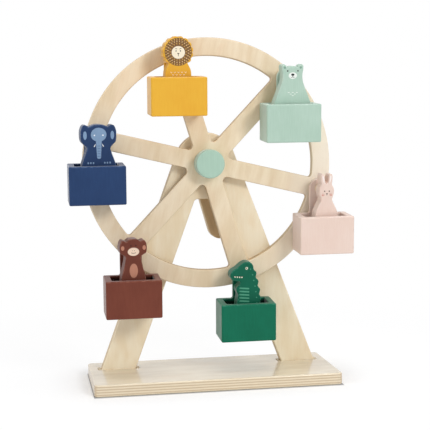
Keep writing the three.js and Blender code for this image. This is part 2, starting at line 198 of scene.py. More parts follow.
# Outward normals of a closed outline that runs anticlockwise: the normals of both sides of a point,
# weighed by the sides' lengths, and the mitre that moves both sides outwards by the same distance
def outlineNormals(points):
    length, normal = sidesOf(points)
    earlier = np.roll(normal, 1, 0)
    mitre = (normal + earlier) / (1 + (normal * earlier).sum(1, keepdims=True))
    return unit(normal * length + earlier * np.roll(length, 1, 0)), mitre


# Points, faces and normals become one mesh in metres, with the wear of each point beside it.
# The flat faces come last and keep their own normal at every corner.
def meshPiece(name, points, faces, normals, wear, place, flatFaces=()):
    turn = np.array(place.to_3x3())
    points, normals = points @ turn.T + np.array(place.translation), normals @ turn.T
    mesh = bpy.data.meshes.new(name)
    mesh.from_pydata((points * mm).tolist(), [], [*faces, *flatFaces])
    count = len(mesh.polygons)
    mesh.polygons.foreach_set("use_smooth", np.ones(count, bool))
    corner = np.zeros(len(mesh.loops), np.int32)
    mesh.loops.foreach_get("vertex_index", corner)
    cornerNormals = normals[corner]
    if len(flatFaces):
        sizes, own = np.zeros(count, np.int32), np.zeros(count * 3, np.float32)
        mesh.polygons.foreach_get("loop_total", sizes)
        mesh.polygons.foreach_get("normal", own)
        owner = np.repeat(np.arange(count), sizes)
        flat = owner >= count - len(flatFaces)
        cornerNormals[flat] = own.reshape(-1, 3)[owner[flat]]
    mesh.normals_split_custom_set(cornerNormals.tolist())
    mesh.attributes.new("wear", "FLOAT", "POINT").data.foreach_set("value", wear.astype(np.float32))
    return addObject(name, mesh)


# How worn a rounded edge is over its quarter turn a: some at the ends and most half way
def edgeWear(a):
    return 0.3 + 0.7 * np.sin(2 * a)


# The rounding of a board's edge, from the face at 0 to the wall at a quarter turn a: inset r(1 - sin a),
# depth r(1 - cos a), the normal turning with it. A row lies reach beyond each end of the rounding.
def edgeRings(radius, steps, reach):
    a = np.linspace(0, quarter, steps + 1)
    inset = np.concatenate([[radius + reach], radius * (1 - np.sin(a)), [0]])
    depth = np.concatenate([[0], radius * (1 - np.cos(a)), [radius + reach]])
    angle = np.concatenate([[0], a, [quarter]])
    wear = np.concatenate([[0], edgeWear(a), [0]])
    return np.column_stack([inset, depth, angle, wear])


# The quads between rows of points, each row a copy of own with its next points in after
def quadRows(first, own, after, total):
    low, high = first * total, (first + 1) * total
    return np.stack([low + own, high + own, high + after, low + after], -1).reshape(-1, 4)


# A flat-cut board: its outlines lie in X and Z, its front face at depth 0 along Y. The rings of
# edgeRings run round both faces' edges, joined by the wall, and both faces are filled flat: as one
# outline with its holes, or, when the loops lie apart, each by itself.
def boardMesh(name, loops, thickness, edges, place, steps=4, reach=0.8, apart=False):
    reach = min(reach, (thickness - sum(edges)) / 3)
    front, back = (edgeRings(edge, steps, reach) for edge in edges)
    back = back[::-1] * (1, -1, -1, 1) + (0, thickness, math.pi, 0)
    rings = np.vstack([front, back])
    flat = np.vstack(loops)
    pairs = [outlineNormals(loop) for loop in loops]
    normal, mitre = (np.vstack(part) for part in zip(*pairs))
    inset, depth, angle, wear = (rings[:, i, None] for i in range(4))
    plan = flat - mitre * inset[..., None]
    points = np.stack([plan[..., 0], depth + 0 * plan[..., 0], plan[..., 1]], -1)
    sine, cosine = np.sin(angle), -np.cos(angle)
    normals = np.stack([normal[:, 0] * sine, cosine + 0 * plan[..., 0], normal[:, 1] * sine], -1)
    total = len(flat)
    start = np.cumsum([0, *[len(loop) for loop in loops]])
    after = np.concatenate([np.roll(np.arange(a, b), -1) for a, b in zip(start[:-1], start[1:])])
    quads = quadRows(np.arange(len(rings) - 1)[:, None], np.arange(total), after, total)
    face = plan[0]
    split = [[Vector((x, z, 0)) for x, z in face[a:b]] for a, b in zip(start[:-1], start[1:])]
    if apart:
        triangles = np.vstack([np.array(tessellate_polygon([loop])) + a for loop, a in zip(split, start)])
    else:
        triangles = np.array(tessellate_polygon(split))
    a, b, c = (face[triangles[:, i]] for i in range(3))
    area = (b[:, 0] - a[:, 0]) * (c[:, 1] - a[:, 1]) - (b[:, 1] - a[:, 1]) * (c[:, 0] - a[:, 0])
    triangles = np.where((area > 0)[:, None], triangles, triangles[:, ::-1])
    lid = triangles[:, ::-1] + (len(rings) - 1) * total
    faces = [*quads.tolist(), *triangles.tolist(), *lid.tolist()]
    spread = np.repeat(wear.ravel(), total)
    return meshPiece(name, points.reshape(-1, 3), faces, normals.reshape(-1, 3), spread, place)


# A turned piece: the profile of (radius, place along Y, wear) runs from axis to axis, or closes on
# itself, and is carried round the Y axis; normals are those of the profile, turned alike
def turnedMesh(name, profile, segments, place):
    profile = np.array(profile, float)
    closed = profile[0, 0] > 1e-6
    length, side = sidesOf(profile[:, :2])
    if not closed:
        side[-1] = side[-2]
    earlier, before = np.roll(side, 1, 0), np.roll(length, 1, 0)
    if not closed:
        earlier[0], before[0] = side[0], length[0]
        side[-1], length[-1] = earlier[-1], before[-1]
    normal = unit(side * length + earlier * before)
    angles = np.linspace(0, 2 * math.pi, segments, endpoint=False)
    c, s = np.cos(angles), np.sin(angles)
    spun, facing = (profile, normal) if closed else (profile[1:-1], normal[1:-1])
    rows = len(spun)

    def carried(radial, along):
        return np.stack([radial[:, None] * c, along[:, None] + 0 * c, radial[:, None] * s], -1).reshape(-1, 3)

    points, normals = carried(spun[:, 0], spun[:, 1]), carried(facing[:, 0], facing[:, 1])
    own, after = np.arange(segments), np.roll(np.arange(segments), -1)
    faces = quadRows(np.arange(rows if closed else rows - 1)[:, None], own, after, segments)
    faces = (faces % len(points)).tolist()
    wear = np.repeat(spun[:, 2], segments)
    if not closed:
        ends = profile[[0, -1]]
        points = np.vstack([points, ends[:, 1:2] * (0, 1, 0)])
        normals = np.vstack([normals, normal[[0, -1], 1:] * (0, 1, 0)])
        wear = np.concatenate([wear, ends[:, 2]])
        near, far = len(points) - 2, len(points) - 1
        last = (rows - 1) * segments
        faces += np.column_stack([near + 0 * own, own, after]).tolist()
        faces += np.column_stack([last + own, far + 0 * own, last + after]).tolist()
    return meshPiece(name, points, faces, normals, wear, place)


# The corners (radius along X, place along Y, rounding) of a turned piece, rounded, and worn up to 1.2
# roundings away from each corner
def turnedProfile(corners, steps=5, closed=False):
    points = filletPolygon(corners, steps)
    rounded = np.array([corner for corner in corners if corner[2] > 0])
    gap = np.linalg.norm(points[:, None] - rounded[:, :2], axis=-1) / np.maximum(rounded[:, 2], 0.3)
    wear = np.clip(1.2 - gap, 0, 1).max(1)
    profile = np.column_stack([points, wear])
    if closed:
        return profile
    start = np.argmin(points[:, 0] * 1e3 + points[:, 1])  # the end of the axis
    return np.roll(profile, -start, 0)


def rodProfile(low, high, size):
    r, edge = size["radius"], size["edge"]
    return turnedProfile([[0, low[1], 0], [r, low[1], edge], [r, high[1], edge], [0, high[1], 0]])


def ringProfile(low, high, size):
    r, bore, edge = size["radius"], size["bore"], size["edge"]
    return turnedProfile([
        [bore, low[1], edge / 2], [r, low[1], edge], [r, high[1], edge], [bore, high[1], edge / 2],
    ], closed=True)


# A pin from the end with its head to its tip, whichever of them lies in front
def headedProfile(headEnd, tip, size):
    r, head, edge = size["radius"], size["head"], size["edge"]
    shoulder = headEnd + math.copysign(size["headThickness"], tip - headEnd)
    corners = [
        [0, headEnd, 0], [head, headEnd, edge], [head, shoulder, edge / 3],
        [r, shoulder, 0], [r, tip, size["tipEdge"]], [0, tip, 0],
    ]
    return turnedProfile(corners if tip > headEnd else corners[::-1])


gondolaSizes = {
    "width": 56.2, "depth": 36.5,
    "wall": 6.5, "floor": 6.5,
    "cornerRadius": 2, "pocketRadius": 2.5,
    "edge": 1.3, "rimEdge": 1.0, "floorFillet": 1.6,
    "panel": 6.5, "joint": 0.03,  # thickness of the hanger behind the box, and the gap to it
    "tuck": 1, "support": 1.5,  # from a rounding to the next row of the underside and of the wall
    "leastRadius": 0.3, "cornerWear": 0.7,
    "drop": 63.3,  # from the peg down to the underside
    "rise": 24.9,  # from the peg down to the box's rim
    "lean": 4.1,  # how far the drop tips towards the wheel
}


# The open top of a gondola in plan: down the left side, round the front and up the right side, with
# points close to the corners, and the outward normal of every point
def plan(half, front, back, radius, margin=1.6):
    side, across = back - front - radius, 2 * (half - radius)
    down = np.concatenate([np.linspace(0, side - margin, 5), [side]])
    along = np.concatenate([[0], np.linspace(margin, across - margin, 9), [across]])
    turn = np.linspace(math.pi, 1.5 * math.pi, 8)
    left = np.column_stack([0 * down - half, back - down])
    bend = np.column_stack([np.cos(turn), np.sin(turn)])
    corner = radius * bend + (radius - half, radius + front)
    ahead = np.column_stack([along + radius - half, 0 * along + front])
    path = np.vstack([left, corner[1:], ahead[1:], mirrored(corner)[1:], mirrored(left)[1:]])
    normal = np.vstack([
        np.tile([-1, 0], (len(left), 1)), bend[1:], np.tile([0, -1], (len(ahead) - 1, 1)),
        mirrored(bend)[1:], np.tile([1, 0], (len(left) - 1, 1)),
    ])
    return path, normal, np.abs(normal).min(1) * math.sqrt(2)


# A gondola box: the section runs from the underside up the outer wall, over the rim and down the inner
# wall to the pocket's floor, each point (distance in from the outer face, height, normal's angle, wear);
# the plan path of that distance carries it round three sides, and the floor, underside and back close it
def boxMesh(name, place):
    size = gondolaSizes
    half, front, back = size["width"] / 2, -size["depth"], -size["panel"] - size["joint"]
    low, high, support = -size["drop"], -size["rise"], size["support"]
    edge, rim, fillet, wall = size["edge"], size["rimEdge"], size["floorFillet"], size["wall"]
    floor = low + size["floor"]
    a = np.linspace(0, quarter, 6)
    inward, outward = 1 - np.sin(a), 1 - np.cos(a)
    section = np.vstack([
        [[edge + size["tuck"], low, -quarter, 0]],
        np.column_stack([edge * inward, low + edge * outward, a - quarter, 0 * a]),
        [[0, low + edge + support, 0, 0], [0, high - edge - support, 0, 0]],
        np.column_stack([edge * outward, high - edge * inward, a, edgeWear(a)]),
        [[(edge + wall - rim) / 2, high, quarter, 0]],
        np.column_stack([wall - rim * inward, high - rim * outward, a + quarter, edgeWear(a)]),
        [[wall, high - rim - support, math.pi, 0], [wall, floor + fillet, math.pi, 0]],
        np.column_stack([wall + fillet * outward, floor + fillet * inward, math.pi - a, 0 * a])[1:],
    ])
    points, normals, wear = [], [], []
    for inset, height, angle, worn in section:
        inner = inset > wall / 2
        radius = size["pocketRadius"] + wall - inset if inner else size["cornerRadius"] - inset
        path, normal, bend = plan(half - inset, front + inset, back, max(radius, size["leastRadius"]))
        points.append(np.column_stack([path, np.full(len(path), height)]))
        normals.append(np.column_stack([normal * math.cos(angle), np.full(len(path), math.sin(angle))]))
        wear.append(np.maximum(worn, bend * (size["cornerWear"] if angle == 0 and not inner else 0)))
    rows, across = len(section), len(points[0])
    row, own = np.arange(rows - 1)[:, None] * across, np.arange(across - 1)
    quads = np.stack([row + own, row + own + 1, row + across + own + 1, row + across + own], -1)
    flank = np.arange(rows) * across
    behind = [*flank.tolist(), *(flank[::-1] + across - 1).tolist()]
    underside = np.arange(across)[::-1].tolist()
    bottom = (flank[-1] + np.arange(across)).tolist()
    quads = quads.reshape(-1, 4).tolist()
    flats = [behind, underside, bottom]
    return meshPiece(name, np.vstack(points), quads, np.vstack(normals), np.concatenate(wear), place, flats)


# The base and its slots, each longer than its leg at both ends
def baseOutlines(size, legs):
    halfX, halfY, corner, slotCorner = size["length"] / 2, size["depth"] / 2, size["corner"], size["slotCorner"]
    loops = [roundedBox(-halfX, halfX, -halfY, halfY, corner, corner)]
    low, high = legs["front"] - size["gap"], legs["back"] + size["gap"]
    for side in sides:
        x0, x1 = sorted((side * (legs["inner"] - size["relief"]), side * (legs["outer"] + size["relief"])))
        loops.append(hole(roundedBox(x0, x1, low, high, slotCorner, slotCorner)))
    return loops


# The outer edges of the legs run up tangent to the round head
def standOutlines(size, hub, top):
    foot, rise = size["foot"], hub - top
    lean = math.atan2(foot, rise) - math.asin(size["head"] / math.hypot(foot, rise))
    inner, flat = foot - size["legWidth"], size["archFlat"] / 2
    archTop = top + (inner - flat) / math.tan(lean)
    head = arc(0, hub, size["head"], lean, math.pi - lean, steps=72)
    low, r, toe = size["tenonFoot"], size["archRadius"], size["toe"]
    legs = filletPolygon([
        [-foot, top, 0], [-foot, low, toe], [-inner, low, toe], [-inner, top, 0], [-flat, archTop, r],
        [flat, archTop, r], [inner, top, 0], [inner, low, toe], [foot, low, toe], [foot, top, 0],
        [*head[0], 0], [*head[-1], 0],
    ], steps=8)
    first = np.argmin(np.linalg.norm(legs - head[-1], axis=1))
    legs = np.roll(legs, -first, 0)
    return [np.vstack([head[:-1], legs[:-1]]), hole(circle(0, hub, size["bore"], steps=48))]


# A window between two spokes: an apex by the hub and two corners at the rim, all arcs, joined by lines
# that run along the spokes and an arc that follows the rim
def windowOutline(size, turn):
    half, bisector = size["spoke"] / 2, math.pi / size["spokes"]
    inner, r = size["radius"] - size["rim"], size["cornerRadius"]
    apex = (half + size["apexRadius"]) / math.sin(bisector)
    spread = bisector - math.asin((half + r) / (inner - r))
    upper, lower = turn + quarter + bisector, turn - quarter - bisector
    return np.vstack([
        arc(*polar(apex, turn), size["apexRadius"], lower + 2 * math.pi, upper, steps=14),
        arc(*polar(inner - r, turn + spread), r, upper, turn + spread, steps=10),
        arc(0, 0, inner, turn + spread, turn - spread, steps=46)[1:-1],
        arc(*polar(inner - r, turn - spread), r, turn - spread, lower, steps=10),
    ])


def wheelOutlines(size, hub):
    loops = [circle(0, hub, size["radius"], steps=288), hole(circle(0, hub, size["bore"], steps=48))]
    step = 2 * math.pi / size["spokes"]
    for i in range(size["spokes"]):
        window = windowOutline(size, size["turn"] + (i + 0.5) * step) + (0, hub)
        x, z = polar(size["pegCircle"], size["turn"] + i * step)
        loops += [window, hole(circle(x, hub + z, size["pegBore"], steps=32))]
    return loops


# Two round ends joined by their common tangents
def armOutlines(size, centre):
    big, small, reach = size["hub"], size["end"], size["length"]
    side = quarter - math.asin((big - small) / reach)
    bigEnd = arc(0, 0, big, side, 2 * math.pi - side, steps=40)
    loops = [
        np.vstack([bigEnd, arc(reach, 0, small, -side, side, steps=36)]),
        hole(circle(0, 0, size["bore"], steps=40)),
        hole(circle(reach, 0, size["pinBore"], steps=32)),
    ]
    return [turned2d(loop, size["turn"]) + centre for loop in loops]


# A panel as wide as the box, and the round-topped tab that hangs on the peg
def hangerOutlines(size, box):
    half, tab, r, fillet = box["width"] / 2, size["tab"] / 2, box["edge"], size["tabFillet"]
    rim, foot = -box["rise"], -box["drop"]
    crown = arc(0, 0, tab, 0, math.pi, steps=40)
    lower = filletPolygon([
        [-tab, 0, 0], [-tab, rim, fillet], [-half, rim, r], [-half, foot, r],
        [half, foot, r], [half, rim, r], [tab, rim, fillet], [tab, 0, 0],
    ], steps=7)
    return [withoutDoubles(np.vstack([crown[:-1], lower])), hole(circle(0, 0, size["bore"], steps=32))]


# Shader nodes. put() makes a node; a value that is another node's output becomes a link.
def put(tree, kind, inputs=None, **settings):
    made = tree.nodes.new("ShaderNode" + kind)
    for key, value in settings.items():
        setattr(made, key, value)
    for key, value in (inputs or {}).items():
        if isinstance(value, bpy.types.NodeSocket):
            tree.links.new(value, made.inputs[key])
        else:
            made.inputs[key].default_value = value
    return made


def calc(tree, operation, *values, clamp=False):
    return put(tree, "Math", dict(enumerate(values)), operation=operation, use_clamp=clamp).outputs[0]


# The product of all values
def times(tree, product, *values):
    for value in values:
        product = calc(tree, "MULTIPLY", product, value)
    return product


def vectorCalc(tree, operation, *vectors):
    return put(tree, "VectorMath", dict(enumerate(vectors)), operation=operation).outputs[0]


def lengthOf(tree, vector):
    return put(tree, "VectorMath", {0: vector}, operation="LENGTH").outputs["Value"]


def axesOf(tree, vector):
    return put(tree, "SeparateXYZ", {0: vector}).outputs


# Two colours mixed, and two values
def blend(tree, factor, a, b, kind="MIX"):
    return put(tree, "Mix", {0: factor, 6: a, 7: b}, data_type="RGBA", blend_type=kind).outputs[2]


def between(tree, factor, a, b):
    return put(tree, "Mix", {0: factor, 2: a, 3: b}).outputs[0]


# Noise whose cells are as long, wide and deep as the three sizes in millimetres. It lies mostly between
# 0.3 and 0.7, and the limits given to ease() choose how much of it shows.
def streaks(tree, vector, sizes, detail=2.0, roughness=0.5):
    scaled = vectorCalc(tree, "MULTIPLY", vector, [1 / s for s in sizes])
    inputs = {"Vector": scaled, "Scale": 1.0, "Detail": detail, "Roughness": roughness}
    return put(tree, "TexNoise", inputs).outputs[0]


# The noises that a look describes under their names
def figures(tree, vector, look, *names):
    return [streaks(tree, vector, *look[name]) for name in names]


# A ramp that is start up to low, end from high, and eased between them
def ease(tree, value, low, high, start=0.0, end=1.0):
    inputs = {"Value": value, "From Min": low, "From Max": high, "To Min": start, "To Max": end}
    return put(tree, "MapRange", inputs, interpolation_type="SMOOTHSTEP").outputs[0]


# A node group, its inputs and outputs named by kind
def newGroup(name, inputs, outputs):
    group = bpy.data.node_groups.new(name, "ShaderNodeTree")
    for way, sockets in (("INPUT", inputs), ("OUTPUT", outputs)):
        for kind, labels in sockets.items():
            for label in labels:
                group.interface.new_socket(name=label, in_out=way, socket_type="NodeSocket" + kind)
    return group, group.nodes.new("NodeGroupInput").outputs, group.nodes.new("NodeGroupOutput").inputs


def closeGroup(group, out, results):
    for name, made in results.items():
        group.links.new(made, out[name])
    return group


# Each figure's cells along, across and through the fibres, with the noise's detail and roughness, and
# how strongly it tones the board
grainLook = {
    "waver": ((70, 28, 28), 1), "waverAcross": 5.0, "waverThrough": 3.0,
    "broad": ((58, 15, 15), 3, 0.55), "broadTone": 0.66,
    "narrow": ((30, 2.2, 2.2), 3, 0.6), "narrowTone": 0.16,
    "fibre": ((9, 0.3, 0.3), 3, 0.6), "fibreTone": 0.2,
    "pores": ((2.4, 0.22, 0.22), 1), "poreTone": 0.2,
    "blush": ((34, 19, 19), 2), "blushTone": 0.3,
    "paleWave": 50.0, "paleFade": 55.0, "paleTone": 0.85,
}
noPaleSide = 1000.0  # the line of the paler tone lies beyond any board


# Grain of a birch board in millimetres, X along the fibres: broad soft figure, patches of a warmer tone,
# a paler tone beyond a wavy line across the board, fine fibres that waver a little, and short dark pores
def makeWoodGrain():
    group, given, out = newGroup(
        "woodGrain",
        {"Vector": ["Vector"], "Color": ["Light", "Dark", "Warm", "Pale"], "Float": ["PaleBeyond"]},
        {"Color": ["Color"], "Float": ["Fibre", "Pores"]},
    )
    look = grainLook
    waver = streaks(group, given["Vector"], *look["waver"])
    across, through = times(group, waver, look["waverAcross"]), times(group, waver, look["waverThrough"])
    shift = put(group, "CombineXYZ", {1: across, 2: through}).outputs[0]
    bent = vectorCalc(group, "ADD", given["Vector"], shift)
    names = ("broad", "narrow", "fibre", "pores", "blush")
    broad, narrow, fibre, pores, blush = figures(group, bent, look, *names)
    pores = ease(group, pores, 0.63, 0.74)
    tone = ease(group, broad, 0.34, 0.68, 0.0, look["broadTone"])
    tone = calc(group, "MULTIPLY_ADD", ease(group, narrow, 0.3, 0.72), look["narrowTone"], tone)
    tone = calc(group, "MULTIPLY_ADD", calc(group, "SUBTRACT", fibre, 0.5), look["fibreTone"], tone, clamp=True)
    face = blend(group, tone, given["Light"], given["Dark"])
    face = blend(group, ease(group, blush, 0.5, 0.72, 0.0, look["blushTone"]), face, given["Warm"])
    aside = calc(group, "MULTIPLY_ADD", broad, look["paleWave"], axesOf(group, bent)[1])
    aside = calc(group, "SUBTRACT", aside, given["PaleBeyond"])
    aside = ease(group, aside, 0.0, look["paleFade"], 0.0, look["paleTone"])
    face = blend(group, aside, face, given["Pale"])
    face = blend(group, times(group, pores, look["poreTone"]), face, given["Dark"], "MULTIPLY")
    return closeGroup(group, out, {"Color": face, "Fibre": fibre, "Pores": pores})


plyLook = {
    "bend": ((26, 26, 60), 2), "stray": 0.35,  # how far a ply strays from its depth
    "skin": 0.05,  # the least depth from either face
    "glue": (0.01, 0.05), "glueTone": 0.6,  # the glue line's widths, as shares of a pair
    "rim": (0.5, 0.9),  # no glue line lies closer to a face
    "straight": ((13, 0.35, 0.35), 3, 0.6), "across": ((0.35, 13, 0.35), 3, 0.6), "fibreTone": 0.3,
    "patch": ((18, 18, 1.2), 2), "patchTone": 0.25,
}


# Plywood in millimetres, Z from the front face to the back: thick light plies and thinner crossed ones in
# turn, each pair as deep as Pair and its light ply the part Share of it. The sawn edges show long fibres
# on the one and darker end fibres on the other, with a thin glue line between them.
def makePlyLayers():
    group, given, out = newGroup(
        "plyLayers",
        {"Vector": ["Vector", "Normal"], "Color": ["Face", "Long", "End", "Glue"],
         "Float": ["Thickness", "Pair", "Share"]},
        {"Color": ["Color"], "Float": ["Edge", "Fibre"]},
    )
    look = plyLook
    names = ("bend", "straight", "across", "patch")
    bend, straight, across, patch = figures(group, given["Vector"], look, *names)
    bend = calc(group, "SUBTRACT", bend, 0.5)
    depth = calc(group, "MULTIPLY_ADD", bend, look["stray"], axesOf(group, given["Vector"])[2])
    top = calc(group, "SUBTRACT", given["Thickness"], look["skin"])
    inside = calc(group, "MINIMUM", calc(group, "MAXIMUM", depth, look["skin"]), top)
    share = calc(group, "FRACT", calc(group, "DIVIDE", inside, given["Pair"]))
    crossed = calc(group, "GREATER_THAN", share, given["Share"])
    border = calc(group, "ABSOLUTE", calc(group, "SUBTRACT", share, given["Share"]))
    near = calc(group, "MINIMUM", border, calc(group, "MINIMUM", share, calc(group, "SUBTRACT", 1.0, share)))
    rim = calc(group, "MINIMUM", inside, calc(group, "SUBTRACT", given["Thickness"], inside))
    glue = times(group, ease(group, near, *look["glue"], 1.0, 0.0), ease(group, rim, *look["rim"]))
    along, aside, through = (calc(group, "ABSOLUTE", part) for part in axesOf(group, given["Normal"]))
    endness = between(group, crossed, along, aside)
    fibre = between(group, crossed, straight, across)
    sawn = blend(group, ease(group, endness, 0.25, 0.85), given["Long"], given["End"])
    sawn = blend(group, ease(group, patch, 0.35, 0.75, 0.0, look["patchTone"]), sawn, given["Long"])
    sawn = blend(group, ease(group, fibre, 0.45, 0.8, 0.0, look["fibreTone"]), sawn, given["End"])
    sawn = blend(group, times(group, glue, look["glueTone"]), sawn, given["Glue"])
    edge = ease(group, through, 0.45, 0.85, 1.0, 0.0)
    return closeGroup(group, out, {"Color": blend(group, edge, given["Face"], sawn), "Edge": edge, "Fibre": fibre})


skinLook = {
    "cloud": ((21, 21, 26), 3, 0.5), "cloudTone": 0.13,
    "grain": ((1.1, 1.1, 26), 3, 0.6), "grainTone": 0.1, "grainHeight": 0.6,
    "spray": ((0.45, 0.45, 0.45), 2, 0.5), "sprayHeight": 0.4,
    "chips": ((5, 5, 5), 4, 0.65), "chipTone": 0.4,
    "roughness": 0.4, "cloudRoughness": 0.12, "rubbedRoughness": 0.15,
}


# Paint on wood, in millimetres: a faint change of depth over the surface, the grain showing through,
# a fine spray texture, and a thin lighter line of wear in places on the edges
def makePaintSkin():
    group, given, out = newGroup(
        "paintSkin",
        {"Vector": ["Vector"], "Color": ["Paint", "Worn"], "Float": ["Wear"]},
        {"Color": ["Color"], "Float": ["Roughness", "Height"]},
    )
    look = skinLook
    names = ("cloud", "grain", "spray", "chips")
    cloud, grain, spray, chips = figures(group, given["Vector"], look, *names)
    deep = blend(group, ease(group, cloud, 0.3, 0.7, 0.0, look["cloudTone"]), given["Paint"], black, "SOFT_LIGHT")
    deep = blend(group, ease(group, grain, 0.35, 0.7, 0.0, look["grainTone"]), deep, white, "SOFT_LIGHT")
    chips = ease(group, chips, 0.46, 0.6)
    rubbed = times(group, chips, ease(group, given["Wear"], 0.45, 1.0), look["chipTone"])
    rough = calc(group, "MULTIPLY_ADD", cloud, look["cloudRoughness"], look["roughness"])
    rough = calc(group, "MULTIPLY_ADD", rubbed, look["rubbedRoughness"], rough)
    height = calc(group, "MULTIPLY_ADD", grain, look["grainHeight"], times(group, spray, look["sprayHeight"]))
    painted = blend(group, rubbed, deep, given["Worn"])
    return closeGroup(group, out, {"Color": painted, "Roughness": rough, "Height": height})


woodGrain, plyLayers, paintSkin = makeWoodGrain(), makePlyLayers(), makePaintSkin()


def useGroup(tree, group, inputs):
    return put(tree, "Group", inputs, node_tree=group).outputs


# The tree of a material or world, emptied
def emptied(owner):
    owner.use_nodes = True
    owner.node_tree.nodes.clear()
    return owner.node_tree


# A Principled material. makeInputs gives its colour, roughness and height; bump is how many millimetres
# deep that height goes and how strongly it shows.
def shader(name, settings, bump, makeInputs):
    material = bpy.data.materials.new(name)
    tree = emptied(material)
    tone, rough, height = makeInputs(tree)
    relief = put(tree, "Bump", {"Height": height, "Distance": bump[0] * mm, "Strength": bump[1]}).outputs[0]
    inputs = {**settings, "Base Color": tone, "Roughness": rough, "Normal": relief}
    put(tree, "OutputMaterial", {0: put(tree, "BsdfPrincipled", inputs).outputs[0]})
    return material


# Object coordinates in millimetres, from a place and along turned axes
def objectSpace(tree, place=(0, 0, 0), turn=(0, 0, 0)):
    return put(tree, "Mapping", {
        "Vector": put(tree, "TexCoord").outputs["Object"], "Location": Vector(place) * mm,
        "Rotation": turn, "Scale": (mm, mm, mm),
    }, vector_type="TEXTURE").outputs[0]


# Object coordinates and normal with X along the fibres and Z through the board
def woodAxes(tree, place, along, through):
    along, through = Vector(along).normalized(), Vector(through).normalized()
    turn = Matrix((along, through.cross(along), through)).transposed().to_euler("XYZ")
    inputs = {"Vector": put(tree, "TexCoord").outputs["Normal"], "Rotation": turn}
    normal = put(tree, "Mapping", inputs, vector_type="TEXTURE").outputs[0]
    return objectSpace(tree, place, turn), normal


allBirch = {
    "long": "#e5d2b0", "end": "#c2a57e", "glue": "#8f7048",
    "thin": 0.5,  # a crossed ply's thickness next to a light one's
    "coat": 0.12, "coatRoughness": 0.35, "bump": (0.05, 0.5), "poreDepth": 0.6,
    "roughness": 0.46, "fibreRoughness": 0.1, "edgeRoughness": 0.12,
}


# Birch plywood; size gives the plies and the four tones, and in finish what it has of its own
def birchPly(name, place, along, through, thickness, size):
    birch = {**allBirch, **size.get("finish", {})}
    light, dark, warm, pale = (colour(code) for code in size["tones"])
    longTone, endTone, glueTone = (colour(birch[part]) for part in ("long", "end", "glue"))
    ply = thickness / ((size["plies"] + 1) / 2 + birch["thin"] * (size["plies"] - 1) / 2)

    def inputs(tree):
        vector, normal = woodAxes(tree, place, along, through)
        grain = useGroup(tree, woodGrain, {
            "Vector": vector, "Light": light, "Dark": dark, "Warm": warm, "Pale": pale,
            "PaleBeyond": size.get("paleBeyond", noPaleSide),
        })
        layers = useGroup(tree, plyLayers, {
            "Vector": vector, "Normal": normal, "Face": grain["Color"], "Long": longTone, "End": endTone,
            "Glue": glueTone, "Thickness": thickness,
            "Pair": ply * (1 + birch["thin"]), "Share": 1 / (1 + birch["thin"]),
        })
        fibre = between(tree, layers["Edge"], grain["Fibre"], layers["Fibre"])
        height = calc(tree, "SUBTRACT", fibre, times(tree, grain["Pores"], birch["poreDepth"]))
        rough = calc(tree, "MULTIPLY_ADD", grain["Fibre"], birch["fibreRoughness"], birch["roughness"])
        rough = calc(tree, "MULTIPLY_ADD", layers["Edge"], birch["edgeRoughness"], rough)
        return layers["Color"], rough, height

    settings = {"Coat Weight": birch["coat"], "Coat Roughness": birch["coatRoughness"]}
    return shader(name, settings, birch["bump"], inputs)


dowel = {
    "light": "#e8d3ad", "dark": "#d4b688", "warm": "#dcb892", "end": "#b8925f", "endShare": 0.6,
    "coat": 0.08, "coatRoughness": 0.4, "bump": (0.05, 0.5), "poreDepth": 0.6,
    "roughness": 0.44, "fibreRoughness": 0.12,
}


# Turned birch, its fibres along Y, darker where they are cut across
def birchDowel(name, place):
    def inputs(tree):
        vector, normal = woodAxes(tree, place, (0, 1, 0), (0, 0, 1))
        light, dark, warm = (colour(dowel[part]) for part in ("light", "dark", "warm"))
        grain = useGroup(tree, woodGrain, {
            "Vector": vector, "Light": light, "Dark": dark, "Warm": warm, "Pale": light, "PaleBeyond": noPaleSide,
        })
        cut = calc(tree, "ABSOLUTE", axesOf(tree, normal)[0])
        ends = ease(tree, cut, 0.55, 0.95, 0.0, dowel["endShare"])
        tone = blend(tree, ends, grain["Color"], colour(dowel["end"]))
        height = calc(tree, "SUBTRACT", grain["Fibre"], times(tree, grain["Pores"], dowel["poreDepth"]))
        return tone, calc(tree, "MULTIPLY_ADD", grain["Fibre"], dowel["fibreRoughness"], dowel["roughness"]), height

    settings = {"Coat Weight": dowel["coat"], "Coat Roughness": dowel["coatRoughness"]}
    return shader(name, settings, dowel["bump"], inputs)


# The shade painted into the gondolas' pockets: how soft its borders are, how far below the rim it grows, and how
# far past the inner walls it reaches
pocketShade = {"soft": 0.6, "depth": 3.5, "margin": 0.3}


# Where shade is painted into a gondola's pocket: one within the walls, from the panel to the front wall, and
# growing with the depth below the rim; hanging is the gondola's own frame at its peg
def paintedPocketShade(tree, hanging):
    size, soft, margin = gondolaSizes, pocketShade["soft"], pocketShade["margin"]
    x, y, z = axesOf(tree, objectSpace(tree, hanging.translation, hanging.to_euler("XYZ")))
    side = size["width"] / 2 - size["wall"] + margin
    front, back = size["wall"] - size["depth"] - margin, margin - size["panel"]
    across = ease(tree, calc(tree, "ABSOLUTE", x), side, side + soft, 1.0, 0.0)
    behind, ahead = ease(tree, y, front - soft, front), ease(tree, y, back, back + soft, 1.0, 0.0)
    below = ease(tree, z, -size["rise"] - pocketShade["depth"], -size["rise"], 1.0, 0.0)
    above = calc(tree, "GREATER_THAN", z, size["floor"] / 2 - size["drop"])
    return times(tree, across, behind, ahead, below, above)


paintLook = {
    "bump": (0.03, 0.5),
    "settings": {"Specular IOR Level": 0.15, "Sheen Weight": 0.6, "Sheen Roughness": 0.25},
}
